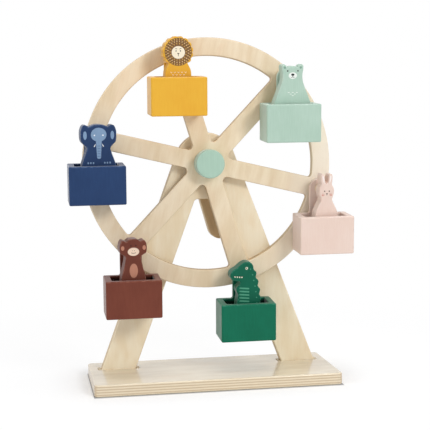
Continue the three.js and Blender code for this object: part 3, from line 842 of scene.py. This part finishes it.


# Paint with worn edges. row gives its colour, its worn colour and, for a gondola, how dark the shade painted into
# its pocket is.
def paintedWood(name, row, tone=1, hanging=None):
    def inputs(tree):
        skin = useGroup(tree, paintSkin, {
            "Vector": objectSpace(tree), "Paint": colour(row["paint"], tone), "Worn": colour(row["worn"]),
            "Wear": put(tree, "Attribute", attribute_name="wear").outputs["Fac"],
        })
        painted = skin["Color"]
        # Painted shade: the pocket's inside is darkened towards black
        if hanging:
            painted = blend(tree, times(tree, paintedPocketShade(tree, hanging), row["pocket"]), painted, black)
        return painted, skin["Roughness"], skin["Height"]

    return shader(name, paintLook["settings"], paintLook["bump"], inputs)


print("finishes ready")


# A finished piece takes the place of its CAD node
def seat(piece, body, node, material):
    piece.data.materials.append(material)
    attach(piece, body)
    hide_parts(node)


# An upright board of plywood in its node's place, its fibres along a direction from a middle height
def makeUpright(kind, body, node, outlines, size, along, middle=0):
    low, high = nodeBox(node)
    thickness = high[1] - low[1]
    board = boardMesh(kind + "_ply", outlines, thickness, size["edges"], moved(0, low[1], 0))
    finish = birchPly(kind + "Ply", (0, low[1], middle), along, (0, 1, 0), thickness, size)
    seat(board, body, node, finish)


# A turned piece of birch in its node's place
def makeTurned(name, body, node, profile, size, place, finish):
    seat(turnedMesh(name, profile, size["segments"], place), body, node, finish)


# A direction in X and Z at an angle
def slanted(angle):
    return math.cos(angle), 0, math.sin(angle)


standLow, standHigh = nodeBox("stand_frame")
baseLow, baseHigh = nodeBox("base_board")
capLow, capHigh = nodeBox("hub_cap")
hub = (capLow[2] + capHigh[2]) / 2
baseTop = baseHigh[2]

baseSizes = {
    "length": baseHigh[0] - baseLow[0], "depth": baseHigh[1] - baseLow[1], "corner": 4.5, "edges": (1.6, 1.6),
    "relief": 3, "slotCorner": 2.5, "gap": 0.3,
    "plies": 9, "tones": ["#e8dbc2", "#d5c4a7", "#dcc29f", "#e8dbc2"],
    "finish": {"long": "#e8d9bd", "end": "#ccb492", "glue": "#94785a", "coat": 0.9, "coatRoughness": 0.14},
}
standSizes = {
    "foot": standHigh[0], "legWidth": 35.6, "head": standHigh[2] - hub, "archFlat": 24, "archRadius": 4,
    "toe": 2.2, "bore": 5.4, "tenonFoot": standLow[2], "edges": (1.3, 1.3),
    "plies": 9, "tones": ["#f8ecd2", "#ebd8b4", "#edd2aa", "#f8ecd2"],
}


# A board drawn in X and Z laid flat, its front face up at a height
def laid(height):
    return moved(0, 0, height) @ Matrix.Rotation(-quarter, 4, "X")


def makeBase():
    legs = {
        "outer": standSizes["foot"], "inner": standSizes["foot"] - standSizes["legWidth"],
        "front": standLow[1], "back": standHigh[1],
    }
    board = boardMesh("base_ply", baseOutlines(baseSizes, legs), baseTop, baseSizes["edges"], laid(baseTop))
    finish = birchPly("basePly", (0, 0, 0), (1, 0, 0), (0, 0, 1), baseTop, baseSizes)
    seat(board, "stand", "base_board", finish)


fillerSizes = {
    "below": 0.12, "depth": 6, "clearance": 0.05, "edges": (0.15, 0.15), "reach": 0.1, "sharp": 0.3,
    "paint": "#d9c6a2", "worn": "#e0cfae",
}


# Wood filler in the slots' ends beside each leg, a little below the top of the base
def makeFiller():
    thin = fillerSizes["clearance"]
    low, high = standLow[1] - baseSizes["gap"] + thin, standHigh[1] + baseSizes["gap"] - thin
    foot, inner, wide = standSizes["foot"], standSizes["foot"] - standSizes["legWidth"], baseSizes["relief"] - thin
    corner, sharp = baseSizes["slotCorner"] - thin, fillerSizes["sharp"]
    loops = []
    for side in sides:
        for near, out in ((foot + thin, wide), (inner - thin, -wide)):
            x0, x1 = sorted((side * near, side * (near + out)))
            left, right = (corner, sharp) if side * out < 0 else (sharp, corner)
            loops.append(roundedBox(x0, x1, low, high, left, right))
    board = boardMesh("slot_filler", loops, fillerSizes["depth"], fillerSizes["edges"],
                      laid(baseTop - fillerSizes["below"]), steps=2, reach=fillerSizes["reach"], apart=True)
    board.data.materials.append(paintedWood("fillerPaste", fillerSizes))
    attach(board, "stand")


makeBase()
makeUpright("stand", "stand", "stand_frame", standOutlines(standSizes, hub, baseTop), standSizes, (0, 0, 1))
makeFiller()
print("base and stand done")

wheelSizes = {
    "radius": 128, "rim": 18.4, "spoke": 18.9, "spokes": 6, "apexRadius": 4, "cornerRadius": 3,
    "turn": math.radians(-13.7), "pegCircle": 118.8, "pegBore": 4.05, "bore": 5.05, "edges": (1.1, 1.1),
    "plies": 7, "grain": math.radians(78), "paleBeyond": 96,
    "tones": ["#f0dfc3", "#ddc5a0", "#e2c29d", "#f3e8d7"],
}
grain = slanted(wheelSizes["grain"])
makeUpright("wheel", "wheel_rotor", "wheel", wheelOutlines(wheelSizes, hub), wheelSizes, grain, hub)

capSizes = {
    "radius": 14.6, "edge": 1.5, "backEdge": 0.6, "bore": 5.1, "boreDepth": 11, "segments": 96,
    "paint": "#aac8b7", "worn": "#c6dacf",
}
axleSizes = {"radius": 5, "edge": 0.8, "segments": 48}
washerSizes = {"radius": 12, "bore": 5.4, "edge": 0.6, "segments": 72}


def makeHub():
    depth = capHigh[1] - capLow[1]
    r, bore, sunk = capSizes["radius"], capSizes["bore"], -capSizes["boreDepth"]
    profile = turnedProfile([
        [0, -depth, 0], [r, -depth, capSizes["edge"]], [r, 0, capSizes["backEdge"]],
        [bore, 0, 0], [bore, sunk, 0], [0, sunk, 0],
    ])
    cap = turnedMesh("cap_painted", profile, capSizes["segments"], moved(0, capHigh[1], hub))
    seat(cap, "wheel_rotor", "hub_cap", paintedWood("capPaint", capSizes))
    finish, centre = birchDowel("axleDowel", (0, 0, hub)), moved(0, 0, hub)
    profile = rodProfile(*nodeBox("axle_dowel"), axleSizes)
    makeTurned("axle_wood", "wheel_rotor", "axle_dowel", profile, axleSizes, centre, finish)
    for node in ("front_washer", "rear_washer"):
        profile = ringProfile(*nodeBox(node), washerSizes)
        makeTurned(node + "_wood", "wheel_rotor", node, profile, washerSizes, centre, finish)


makeHub()
print("wheel and hub done")

armSizes = {
    "length": 70, "hub": 15, "end": 13, "bore": 5.05, "pinBore": 3.05, "turn": math.radians(-75.9),
    # Painted shade: the arm's tones are darker than the other boards', for the shadow it lies in behind the stand
    "edges": (1.4, 1.4), "plies": 9, "tones": ["#d6bc93", "#b89a70", "#bf9c70", "#d6bc93"],
}
knobSizes = {
    "radius": 8, "waist": 1.4, "bore": 3.4, "sink": 5.2, "sinkDepth": 2.9, "rim": 0.8,
    "points": 60, "segments": 72, "rubbedFrom": 0.9, "rubbed": 1.4,
    # shares of the swell from waist to full radius, and of the length
    "swell": [[0.25, 0.0], [0.7, 0.02], [0.95, 0.07], [1, 0.14], [0.6, 0.3], [0.06, 0.48], [0.04, 0.56],
              [0.3, 0.68], [0.8, 0.8], [1, 0.88], [0.97, 0.95], [0.8, 0.985]],
}
pinSizes = {"radius": 3, "head": 4.8, "headThickness": 2.5, "edge": 0.6, "tipEdge": 0.3, "segments": 40}


def makeCrank():
    outlines, along = armOutlines(armSizes, (0, hub)), slanted(armSizes["turn"])
    makeUpright("crank", "wheel_rotor", "crank_arm", outlines, armSizes, along, hub)

    x, z = polar(armSizes["length"], armSizes["turn"])
    low, high = nodeBox("crank_knob")
    length, full, sink = high[1] - low[1], knobSizes["radius"], knobSizes["sink"]
    knots = [[full - knobSizes["waist"] * (1 - swell), share * length] for swell, share in knobSizes["swell"]]
    end, rim, bore = length - knobSizes["sinkDepth"], knobSizes["rim"], knobSizes["bore"]
    inner = [[sink + rim, length], [sink, length - rim], [sink, end], [bore, end], [bore, 0]]
    outline = np.vstack([smoothLine(knots, knobSizes["points"]), inner])
    rubbed = np.clip((outline[:, 0] - full + knobSizes["rubbedFrom"]) * knobSizes["rubbed"], 0, 1)
    profile, place = np.column_stack([outline, rubbed]), moved(x, low[1], hub + z)
    finish = birchDowel("knobWood", (x, 0, hub + z))
    makeTurned("knob_wood", "crank_knob", "crank_knob", profile, knobSizes, place, finish)

    low, high = nodeBox("knob_pin")
    profile = headedProfile(high[1], low[1], pinSizes)
    makeTurned("knob_pin_wood", "wheel_rotor", "knob_pin", profile, pinSizes, moved(x, 0, hub + z), finish)


makeCrank()
print("crank done")

# Each gondola: its paint, its lighter worn edge, the tone of its animal's paint, how dark the shade painted into
# its pocket is, and the animal's turn in degrees, half width and height as shares of the reference, and shift to
# the right
columns = ("paint", "worn", "tone", "pocket", "animal", "turn", "width", "height", "shift")
gondolas = {name: dict(zip(columns, row)) for name, *row in [
    ("pink", "#e9d2c6", "#f0e2da", 1, 0.12, "rabbit", 3, 0.575, 1.015, 0.02),
    ("mint", "#b2ccbd", "#d5e3da", 1, 0.12, "bear", 1.5, 0.93, 0.975, 0),
    ("yellow", "#e8b03a", "#f0cd84", 0.98, 0.2, "lion", 3, 0.74, 0.985, 0),
    ("blue", "#274069", "#6a7fa0", 0.94, 0.7, "elephant", 5, 0.845, 0.985, 0.04),
    ("brown", "#763f31", "#a87a6a", 0.92, 0.85, "monkey", 5, 0.655, 0.985, 0),
    ("green", "#0c6b50", "#5a9c86", 0.9, 0.85, "crocodile", 2, 0.81, 1, -0.02),
]}
hangerSizes = {"tab": 22, "tabFillet": 2, "bore": 5, "edges": (0.3, 1.2), "reach": 0.08}
pegSizes = {"radius": 4, "head": 6, "headThickness": 2.6, "edge": 0.7, "tipEdge": 0.7, "segments": 40}
collarSizes = {"radius": 7, "bore": 4.4, "edge": 0.5, "segments": 48}
standoff = 4.5  # from the wheel's face to the hanger's back
animalSizes = {
    "half": 21, "height": 73.4, "thickness": 14.1, "edges": (1.3, 1.3), "steps": 5, "reach": 0.1,
    "sink": -56.5,  # height of its foot, from the peg
    "middle": -20.75,  # depth of its middle, from the hanger's back
    "span": 42,  # the reference width that shifts are shares of
    "points": 240, "footCorner": 2,
}

# Outlines as shares of the half width and of the height, from the right foot up to the crown
animalOutlines = {
    "bear": [
        [1, 0], [1, 0.41], [0.93, 0.48], [0.76, 0.6], [0.59, 0.72], [0.53, 0.79], [0.53, 0.86], [0.57, 0.92],
        [0.56, 0.975], [0.46, 0.995], [0.35, 0.975], [0.29, 0.95], [0.15, 0.965], [0, 0.968],
    ],
    "rabbit": [
        [0.98, 0], [1, 0.4], [0.93, 0.48], [0.72, 0.56], [0.53, 0.62], [0.49, 0.655], [0.57, 0.69], [0.65, 0.75],
        [0.6, 0.81], [0.47, 0.85], [0.5, 0.91], [0.505, 0.972], [0.43, 0.995], [0.27, 0.995], [0.19, 0.965],
        [0.12, 0.885], [0, 0.865],
    ],
    "monkey": [
        [0.9, 0], [0.91, 0.42], [0.82, 0.52], [0.68, 0.62], [0.59, 0.7], [0.58, 0.75], [0.7, 0.775], [0.94, 0.805],
        [1, 0.865], [0.95, 0.94], [0.8, 0.98], [0.64, 0.975], [0.52, 0.965], [0.28, 0.995], [0, 1],
    ],
    "elephant": [
        [0.96, 0], [0.97, 0.42], [0.88, 0.5], [0.72, 0.61], [0.66, 0.675], [0.78, 0.715], [0.95, 0.76], [1, 0.85],
        [0.97, 0.93], [0.84, 0.985], [0.66, 0.985], [0.55, 0.965], [0.32, 0.985], [0, 0.995],
    ],
    "crocodile": [
        [0.86, 0], [0.88, 0.36], [0.82, 0.43], [0.88, 0.49], [0.77, 0.54], [0.82, 0.61], [0.68, 0.66], [0.72, 0.73],
        [0.56, 0.78], [0.59, 0.85], [0.44, 0.89], [0.38, 0.95], [0.2, 0.995], [-0.06, 1], [-0.28, 0.98],
        [-0.6, 0.92], [-0.92, 0.87], [-1, 0.81], [-0.9, 0.76], [-0.66, 0.74], [-0.42, 0.725], [-0.46, 0.68],
        [-0.62, 0.645], [-0.62, 0.59], [-0.54, 0.55], [-0.62, 0.42], [-0.64, 0.3], [-0.64, 0],
    ],
}
lionSizes = {
    "centre": 0.775, "swell": 0.04, "scallops": 12,
    "open": 0.27,  # how far round the mane goes below its centre on each side, in half turns
    "body": [[0.86, 0], [0.86, 0.42], [0.8, 0.535]],
}


# The lion's head is a ring of scallops, open below where it meets the body: its radius swells with the
# size of a sine, half a wave to each scallop
def lionKnots(half, height):
    centre, swell = lionSizes["centre"] * height, lionSizes["swell"]
    scallops, beyond = lionSizes["scallops"], lionSizes["open"]
    radius = min(height - centre, half) / (1 + swell)
    angle = np.linspace(-beyond * math.pi, (1 + beyond) * math.pi, scallops * 6 + 1)
    bulge = 1 + swell * (2 * np.abs(np.sin(np.linspace(0, scallops * math.pi, len(angle)))) - 1)
    mane = np.column_stack([radius * bulge * np.cos(angle), centre + radius * bulge * np.sin(angle)])
    body = np.array(lionSizes["body"]) * (half, height)
    return np.vstack([body, mane, mirrored(body)])


# The smooth outline of an animal; all but the crocodile are symmetrical. Its two foot corners are rounded,
# and the points close to them make way for the arcs.
def animalOutline(kind, half, height):
    if kind == "lion":
        knots = lionKnots(half, height)
    else:
        knots = np.array(animalOutlines[kind]) * (half, height)
        if kind != "crocodile":
            knots = np.vstack([knots, mirrored(knots[:-1])])
    line = smoothLine(knots, animalSizes["points"])
    feet, radius = line[[0, -1]], animalSizes["footCorner"]
    away = np.linalg.norm(line[:, None] - feet, axis=-1).min(1)
    corners = np.column_stack([line, np.where(away > 0, 0, radius)])
    return filletPolygon(corners[(away == 0) | (away > 1.1 * radius)])


# A bar with rounded ends from one point to another
def bar(x0, y0, x1, y1, wide, steps=5):
    angle, r = math.atan2(y1 - y0, x1 - x0), wide / 2
    return np.vstack([
        arc(x1, y1, r, angle - quarter, angle + quarter, steps),
        arc(x0, y0, r, angle + quarter, angle + 3 * quarter, steps),
    ])


# A drop shape that starts pointed at its place and ends round: its width is a sine that leans outwards
def petal(x, y, length, wide, angle, steps=10):
    t = np.linspace(0, 2 * math.pi, steps, endpoint=False)
    swell = np.column_stack([length * (0.5 - 0.5 * np.cos(t)), -wide / 2 * np.sin(t) * (0.6 - 0.4 * np.cos(t))])
    return turned2d(swell, angle) + (x, y)


# A shape on the left and its like on the right
def pair(shape, x, *sizes):
    return [shape(side * x, *sizes) for side in sides]


# Printed marks for each animal, layer by layer: a colour and its shapes, in millimetres from the middle of
# the animal's foot. half is its half width and tall its height.
def rabbitMarks(half, tall):
    ears = [petal(side * 0.22 * half, 0.862 * tall, 8.6, 2.6, quarter - side * 0.2, 16) for side in sides]
    cheeks = pair(ellipse, 0.36 * half, 0.708 * tall, 2.6, 1.9, 18)
    eyes = pair(ellipse, 0.2 * half, 0.762 * tall, 1.15, 1.5, 16)
    face = [ellipse(0, 0.727 * tall, 1.7, 1.2, 16), bar(0, 0.722 * tall, 0, 0.705 * tall, 0.36)]
    hairs = [bar(side * 0.2 * half, (0.717 + lift) * tall, side * 0.42 * half, (0.717 + 2.2 * lift) * tall, 0.3)
             for side in sides for lift in (-0.006, 0.006)]
    return [("#f7ece6", ears), ("#dba99c", cheeks), ("#5b4742", eyes + face), ("#c99f93", hairs)]


def bearMarks(half, tall):
    ears = pair(ellipse, 0.42 * half, 0.947 * tall, 2.7, 2.5, 18)
    muzzle = [ellipse(0, 0.835 * tall, 8.6, 6.6, 32)]
    nose = [ellipse(0, 0.848 * tall, 3.4, 2.3, 22), bar(0, 0.84 * tall, 0, 0.818 * tall, 0.5)]
    nose += [bar(0, 0.818 * tall, side * 1.5, 0.81 * tall, 0.5) for side in sides]
    eyes = pair(circle, 0.27 * half, 0.9 * tall, 0.75, 16)
    bib = [bar(x, (0.6 - 0.022 * row) * tall, x + 1.5, (0.6 - 0.022 * row) * tall, 0.6)
           for row in range(3) for x in np.arange(-2 + row, 2.1 - row, 2) * 2.1 - 0.7]
    return [("#86a796", ears), ("#e9efe9", muzzle + bib), ("#2c3231", nose + eyes)]


# Three rings of leaves and a ring of flecks round the face
def lionMarks(half, tall):
    centre = lionSizes["centre"] * tall
    reach = min(tall - centre, half)
    rows = [(0.45, 1.9, 1.0, 18), (0.585, 2.1, 1.1, 24), (0.725, 2.0, 1.1, 30)]
    leaves = []
    for row, (inner, length, wide, count) in enumerate(rows):
        for angle in (np.arange(count) + 0.5 * row) * 2 * math.pi / count:
            x, y = polar(inner * reach, angle)
            leaves.append(petal(x, centre + y, length, wide, angle))
    spots = [polar(0.675 * reach, angle) for angle in (np.arange(24) + 0.5) * 2 * math.pi / 24]
    flecks = [circle(x, centre + y, 0.32, 8) for x, y in spots]
    ring = [circle(0, centre, 0.88 * reach, 64)]
    face = [ellipse(0, centre - 0.008 * tall, 0.86 * reach, 0.8 * reach, 36)]
    brow = [bar(side * 1.3, centre + 0.04 * tall, side * 2.9, centre + 0.044 * tall, 0.5) for side in sides]
    eyes = pair(circle, 2.2, centre + 0.012 * tall, 0.62, 14)
    lip, bridge = centre - 0.04 * tall, centre - 0.016 * tall
    nose = [filletPolygon([[0, lip, 0.3], [1.35, bridge, 0.35], [-1.35, bridge, 0.35]], 4)]
    mouth = [bar(0, lip, 0, centre - 0.058 * tall, 0.4)]
    chest = [bar(x - 0.8, y + 0.9, x, y, 0.42) for x, y in chestSpots(tall)]
    chest += [bar(x, y, x + 0.8, y + 0.9, 0.42) for x, y in chestSpots(tall)]
    dark = brow + eyes + nose + mouth
    return [("#7d5a36", ring), ("#e2b765", leaves), ("#f5ead2", flecks + face + chest), ("#3a2c24", dark)]


# Rows of small chevrons, each row half a step from the last
def chestSpots(tall):
    return [(x, (0.49 - 0.033 * row) * tall) for row in range(3)
            for x in (np.arange(5 - row % 2) - (4 - row % 2) / 2) * 3.6]


def elephantMarks(half, tall):
    ears = pair(ellipse, 0.76 * half, 0.85 * tall, 3.6, 8.2, 30)
    brow = [ellipse(0, 0.858 * tall, 15.5, 13.6, 40)]
    root, tip = 0.83 * tall, 0.53 * tall
    trunk = [filletPolygon([[-3.1, root, 0.5], [-1.9, tip, 1.6], [1.9, tip, 1.6], [3.1, root, 0.5]])]
    rings = [bar(-1.2, level * tall, 1.2, level * tall, 0.45) for level in (0.565, 0.6, 0.635, 0.67, 0.705)]
    tusks = [petal(side * 3.2, 0.735 * tall, 3.4, 1.3, -quarter + side * 0.45, 14) for side in sides]
    eyes = pair(circle, 4.2, 0.85 * tall, 0.72, 14)
    nails = [ellipse(side * (5.6 + 2.6 * i), 0.475 * tall, 1.6, 2.0, 14) for side in sides for i in range(3)]
    skin = "#7e99b9"
    return [(skin, ears + brow + nails), (skin, trunk), ("#f0f3f6", tusks + eyes), ("#4a668f", rings)]


def monkeyMarks(half, tall):
    ears = pair(ellipse, 0.79 * half, 0.878 * tall, 3.5, 4.6, 22)
    muzzle = [ellipse(0, 0.825 * tall, 11.6, 8.2, 36)]
    nose = pair(ellipse, 0.9, 0.842 * tall, 0.75, 0.55, 12)
    lips = arc(0, 0.862 * tall, 4.2, -2.1, -1.04, 8)
    smile = [bar(*a, *b, 0.45) for a, b in zip(lips[:-1], lips[1:])]
    eyes = pair(circle, 2.5, 0.91 * tall, 0.68, 14)
    belly = [ellipse(0, 0.56 * tall, 8.4, 14.5, 36)]
    return [("#b98069", ears + belly), ("#ecd3bd", muzzle), ("#2f1d18", nose + smile + eyes)]


def crocodileMarks(half, tall):
    bands = [bar(-0.42 * half, level * tall, 0.1 * half, (level - 0.012) * tall, 1.5)
             for level in (0.46, 0.505, 0.55, 0.595, 0.64)]
    roots = [(x * half, y * tall) for x, y in [(-0.78, 0.809), (-0.64, 0.806), (-0.5, 0.803), (-0.36, 0.8)]]
    tip, far = 0.026 * tall, 0.004 * tall
    teeth = [filletPolygon([[x, y, 0.15], [x + 0.9, y - tip, 0.25], [x + 1.8, y - far, 0.15]], 3) for x, y in roots]
    jaw = [bar(-0.84 * half, 0.813 * tall, -0.2 * half, 0.802 * tall, 0.5)]
    eye = [circle(-0.02 * half, 0.915 * tall, 1.35, 18)]
    pupil = [circle(-0.04 * half, 0.915 * tall, 0.68, 14)]
    spine = [(0.22, 0.9), (0.34, 0.82), (0.41, 0.74), (0.49, 0.66), (0.54, 0.58), (0.58, 0.5), (0.6, 0.42)]
    scutes = [circle(x * half, y * tall, 0.62, 12) for x, y in spine]
    return [("#4e9a7d", bands + scutes), ("#efe9d2", teeth + eye), ("#12382c", jaw + pupil)]


animalMarks = {
    "rabbit": rabbitMarks, "bear": bearMarks, "lion": lionMarks, "elephant": elephantMarks,
    "monkey": monkeyMarks, "crocodile": crocodileMarks,
}
# Each layer lies one step further out than the last, and all reach as deep into the paint
printSizes = {"thickness": 0.12, "proud": 0.05, "step": 0.03, "edges": (0.03, 0.03)}
inkLook = {
    "cells": (0.7, 0.7, 0.7), "thin": 0.12, "under": (0.5, 0.5, 0.5, 1),
    "bump": (0.02, 0.4), "settings": {"Specular IOR Level": 0.22},
}
prints = {}


# Screen-printed ink: slightly uneven, with the paint's own texture under it; one material a colour
def ink(code):
    def inputs(tree):
        vector, tone = objectSpace(tree), colour(code)
        skin = useGroup(tree, paintSkin, {"Vector": vector, "Paint": tone, "Worn": tone})
        thin = ease(tree, streaks(tree, vector, inkLook["cells"], 3, 0.6), 0.35, 0.75, 0.0, inkLook["thin"])
        printed = blend(tree, thin, skin["Color"], inkLook["under"], "SOFT_LIGHT")
        return printed, skin["Roughness"], skin["Height"]

    if code not in prints:
        prints[code] = shader("ink" + code.strip("#"), inkLook["settings"], inkLook["bump"], inputs)
    return prints[code]


# An animal stands in its gondola, turned about the upright through its foot
def makeAnimal(colourName, hanging):
    row = gondolas[colourName]
    kind, deep = row["animal"], animalSizes["thickness"]
    half, height = animalSizes["half"] * row["width"], animalSizes["height"] * row["height"]
    place = hanging @ moved(animalSizes["span"] * row["shift"], animalSizes["middle"], animalSizes["sink"])
    place = place @ Matrix.Rotation(math.radians(row["turn"]), 4, "Z") @ moved(0, -deep / 2, 0)
    outline = animalOutline(kind, half, height)
    board = boardMesh(kind + "_board", [outline], deep, animalSizes["edges"], place,
                      steps=animalSizes["steps"], reach=animalSizes["reach"])
    paint = paintedWood(kind + "Paint", row, row["tone"])
    seat(board, "rider_" + kind, "figure_" + kind, paint)
    for layer, (code, shapes) in enumerate(animalMarks[kind](half, height)):
        name, rise = kind + "_print_" + str(layer + 1), layer * printSizes["step"]
        front = place @ moved(0, -printSizes["proud"] - rise, 0)
        thickness = printSizes["thickness"] + rise
        marks = boardMesh(name, shapes, thickness, printSizes["edges"], front, steps=1, apart=True)
        marks.data.materials.append(ink(code))
        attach(marks, "rider_" + kind)


def makeGondola(colourName):
    row = gondolas[colourName]
    low, high = nodeBox("peg_" + colourName)
    x, z = (low[0] + high[0]) / 2, (low[2] + high[2]) / 2
    tilt = math.atan2(gondolaSizes["lean"], gondolaSizes["drop"])
    hanging = moved(x, nodeBox("wheel")[0][1] - standoff, z) @ Matrix.Rotation(tilt, 4, "X")
    paint = paintedWood(colourName + "Paint", row, hanging=hanging)
    body = "gondola_" + colourName
    seat(boxMesh(colourName + "_box_shell", hanging), body, "box_" + colourName, paint)

    panel = gondolaSizes["panel"]
    outlines = hangerOutlines(hangerSizes, gondolaSizes)
    board = boardMesh(colourName + "_hanger_board", outlines, panel, hangerSizes["edges"],
                      hanging @ moved(0, -panel, 0), reach=hangerSizes["reach"])
    seat(board, body, "hanger_" + colourName, paint)

    wood, centre = birchDowel(colourName + "PegWood", (x, 0, z)), moved(x, 0, z)
    profile = headedProfile(low[1], high[1], pegSizes)
    makeTurned(colourName + "_peg_wood", "wheel_rotor", "peg_" + colourName, profile, pegSizes, centre, wood)
    profile = ringProfile(*nodeBox("collar_" + colourName), collarSizes)
    makeTurned(colourName + "_collar_wood", body, "collar_" + colourName, profile, collarSizes, centre, wood)
    makeAnimal(colourName, hanging)


for colourName in gondolas:
    makeGondola(colourName)
    print(colourName, "gondola done")

# Places and distances in metres
studio = {
    "floor": 6.0, "bounce": 0.85,
    "cloudScale": 3.0, "cloud": (0.985, 0.985, 0.99, 1),
    "seen": (0.8, 0.19), "glow": (0.24, 0.83),  # close to the base, and a little away from it
    "shade": 0.05,  # from the one to the other
    # Painted shadow: a contact shadow tinted into the floor along the base's edges
    "paintedContactShadow": [(0.006, 0.38), (0.05, 0.96)],  # how far the floor is darker along the base, and how dark
    "narrow": (6, 1, 1),  # the darker line is narrower at the base's ends
    "near": 0.22, "far": 0.6,  # from the middle, between which the floor turns plain white
    "sky": 0.48,
    "key": {"place": (0.66, -1.42, 0.86), "size": 0.5, "power": 9.9},
    "fill": {"place": (-2.3, -0.6, 0.9), "size": 1.4, "power": 13},
    "top": {"place": (0.1, -0.2, 2.3), "size": 1.2, "power": 17},
}


# One for what the camera sees, straight or through a reflection, and none for light that bounces
def directRay(tree):
    path = put(tree, "LightPath").outputs
    reflected = calc(tree, "MAXIMUM", path["Is Glossy Ray"], path["Is Transmission Ray"])
    return calc(tree, "MAXIMUM", path["Is Camera Ray"], reflected)


# The floor is seen as a bright sheet that keeps the shadow and has a contact shadow painted along the base, and
# bounces light as a pale matt one
def makeFloor():
    half = studio["floor"] / 2
    mesh = bpy.data.meshes.new("floor")
    mesh.from_pydata([(-half, -half, 0), (half, -half, 0), (half, half, 0), (-half, half, 0)], [], [(0, 1, 2, 3)])
    floor = addObject("floor", mesh)
    material = bpy.data.materials.new("paleFloor")
    tree = emptied(material)
    here = put(tree, "TexCoord").outputs["Object"]
    cloud = put(tree, "TexNoise", {"Vector": here, "Scale": studio["cloudScale"], "Detail": 2.0}).outputs[0]
    tint = blend(tree, ease(tree, cloud, 0.3, 0.7), white, studio["cloud"])
    away = ease(tree, lengthOf(tree, here), studio["near"], studio["far"])
    edge = Vector((baseSizes["length"] / 2, baseSizes["depth"] / 2, 0)) * mm
    beyond = vectorCalc(tree, "SUBTRACT", vectorCalc(tree, "ABSOLUTE", here), edge)
    beyond = vectorCalc(tree, "MAXIMUM", beyond, (0, 0, 0))
    gap, ahead = lengthOf(tree, beyond), lengthOf(tree, vectorCalc(tree, "MULTIPLY", beyond, studio["narrow"]))
    # Painted shadow along the base: the floor's tint darkens close to its edges
    paintedContactShadow = times(tree, *(ease(tree, ahead, 0.0, wide, dark, 1.0) for wide, dark in studio["paintedContactShadow"]))
    tint = blend(tree, paintedContactShadow, black, tint)
    share = ease(tree, gap, 0.0, studio["shade"], *studio["seen"])
    glow = ease(tree, gap, 0.0, studio["shade"], *studio["glow"])
    pale = put(tree, "BsdfDiffuse", {"Color": blend(tree, share, black, tint)}).outputs[0]
    shine = put(tree, "Emission", {"Color": tint, "Strength": glow}).outputs[0]
    plain = put(tree, "Emission", {"Color": white, "Strength": 1.0}).outputs[0]
    near = put(tree, "AddShader", {0: pale, 1: shine}).outputs[0]
    seen = put(tree, "MixShader", {0: away, 1: near, 2: plain}).outputs[0]
    bounced = put(tree, "BsdfDiffuse", {"Color": (studio["bounce"],) * 3 + (1,)}).outputs[0]
    both = put(tree, "MixShader", {0: directRay(tree), 1: bounced, 2: seen}).outputs[0]
    put(tree, "OutputMaterial", {0: both})
    mesh.materials.append(material)


# The sky is white to the eye and lights the toy with less
def makeSky():
    world = bpy.data.worlds.new("studioSky")
    bpy.context.scene.world = world
    tree = emptied(world)
    strength = between(tree, directRay(tree), studio["sky"], 1.0)
    background = put(tree, "Background", {"Color": white, "Strength": strength}).outputs[0]
    put(tree, "OutputWorld", {0: background})


# A round lamp looks at the wheel's hub
def makeLamp(name):
    row = studio[name]
    data = bpy.data.lights.new(name, "AREA")
    data.shape, data.size, data.energy = "DISK", row["size"], row["power"]
    place = Vector(row["place"])
    aim = (Vector((0, 0, hub * mm)) - place).to_track_quat("-Z", "Y").to_matrix().to_4x4()
    addObject(name, data, Matrix.Translation(place) @ aim)


makeFloor()
makeSky()
for lamp in ("key", "fill", "top"):
    makeLamp(lamp)
bpy.context.scene.view_settings.view_transform = "Standard"
print("floor and lights done")
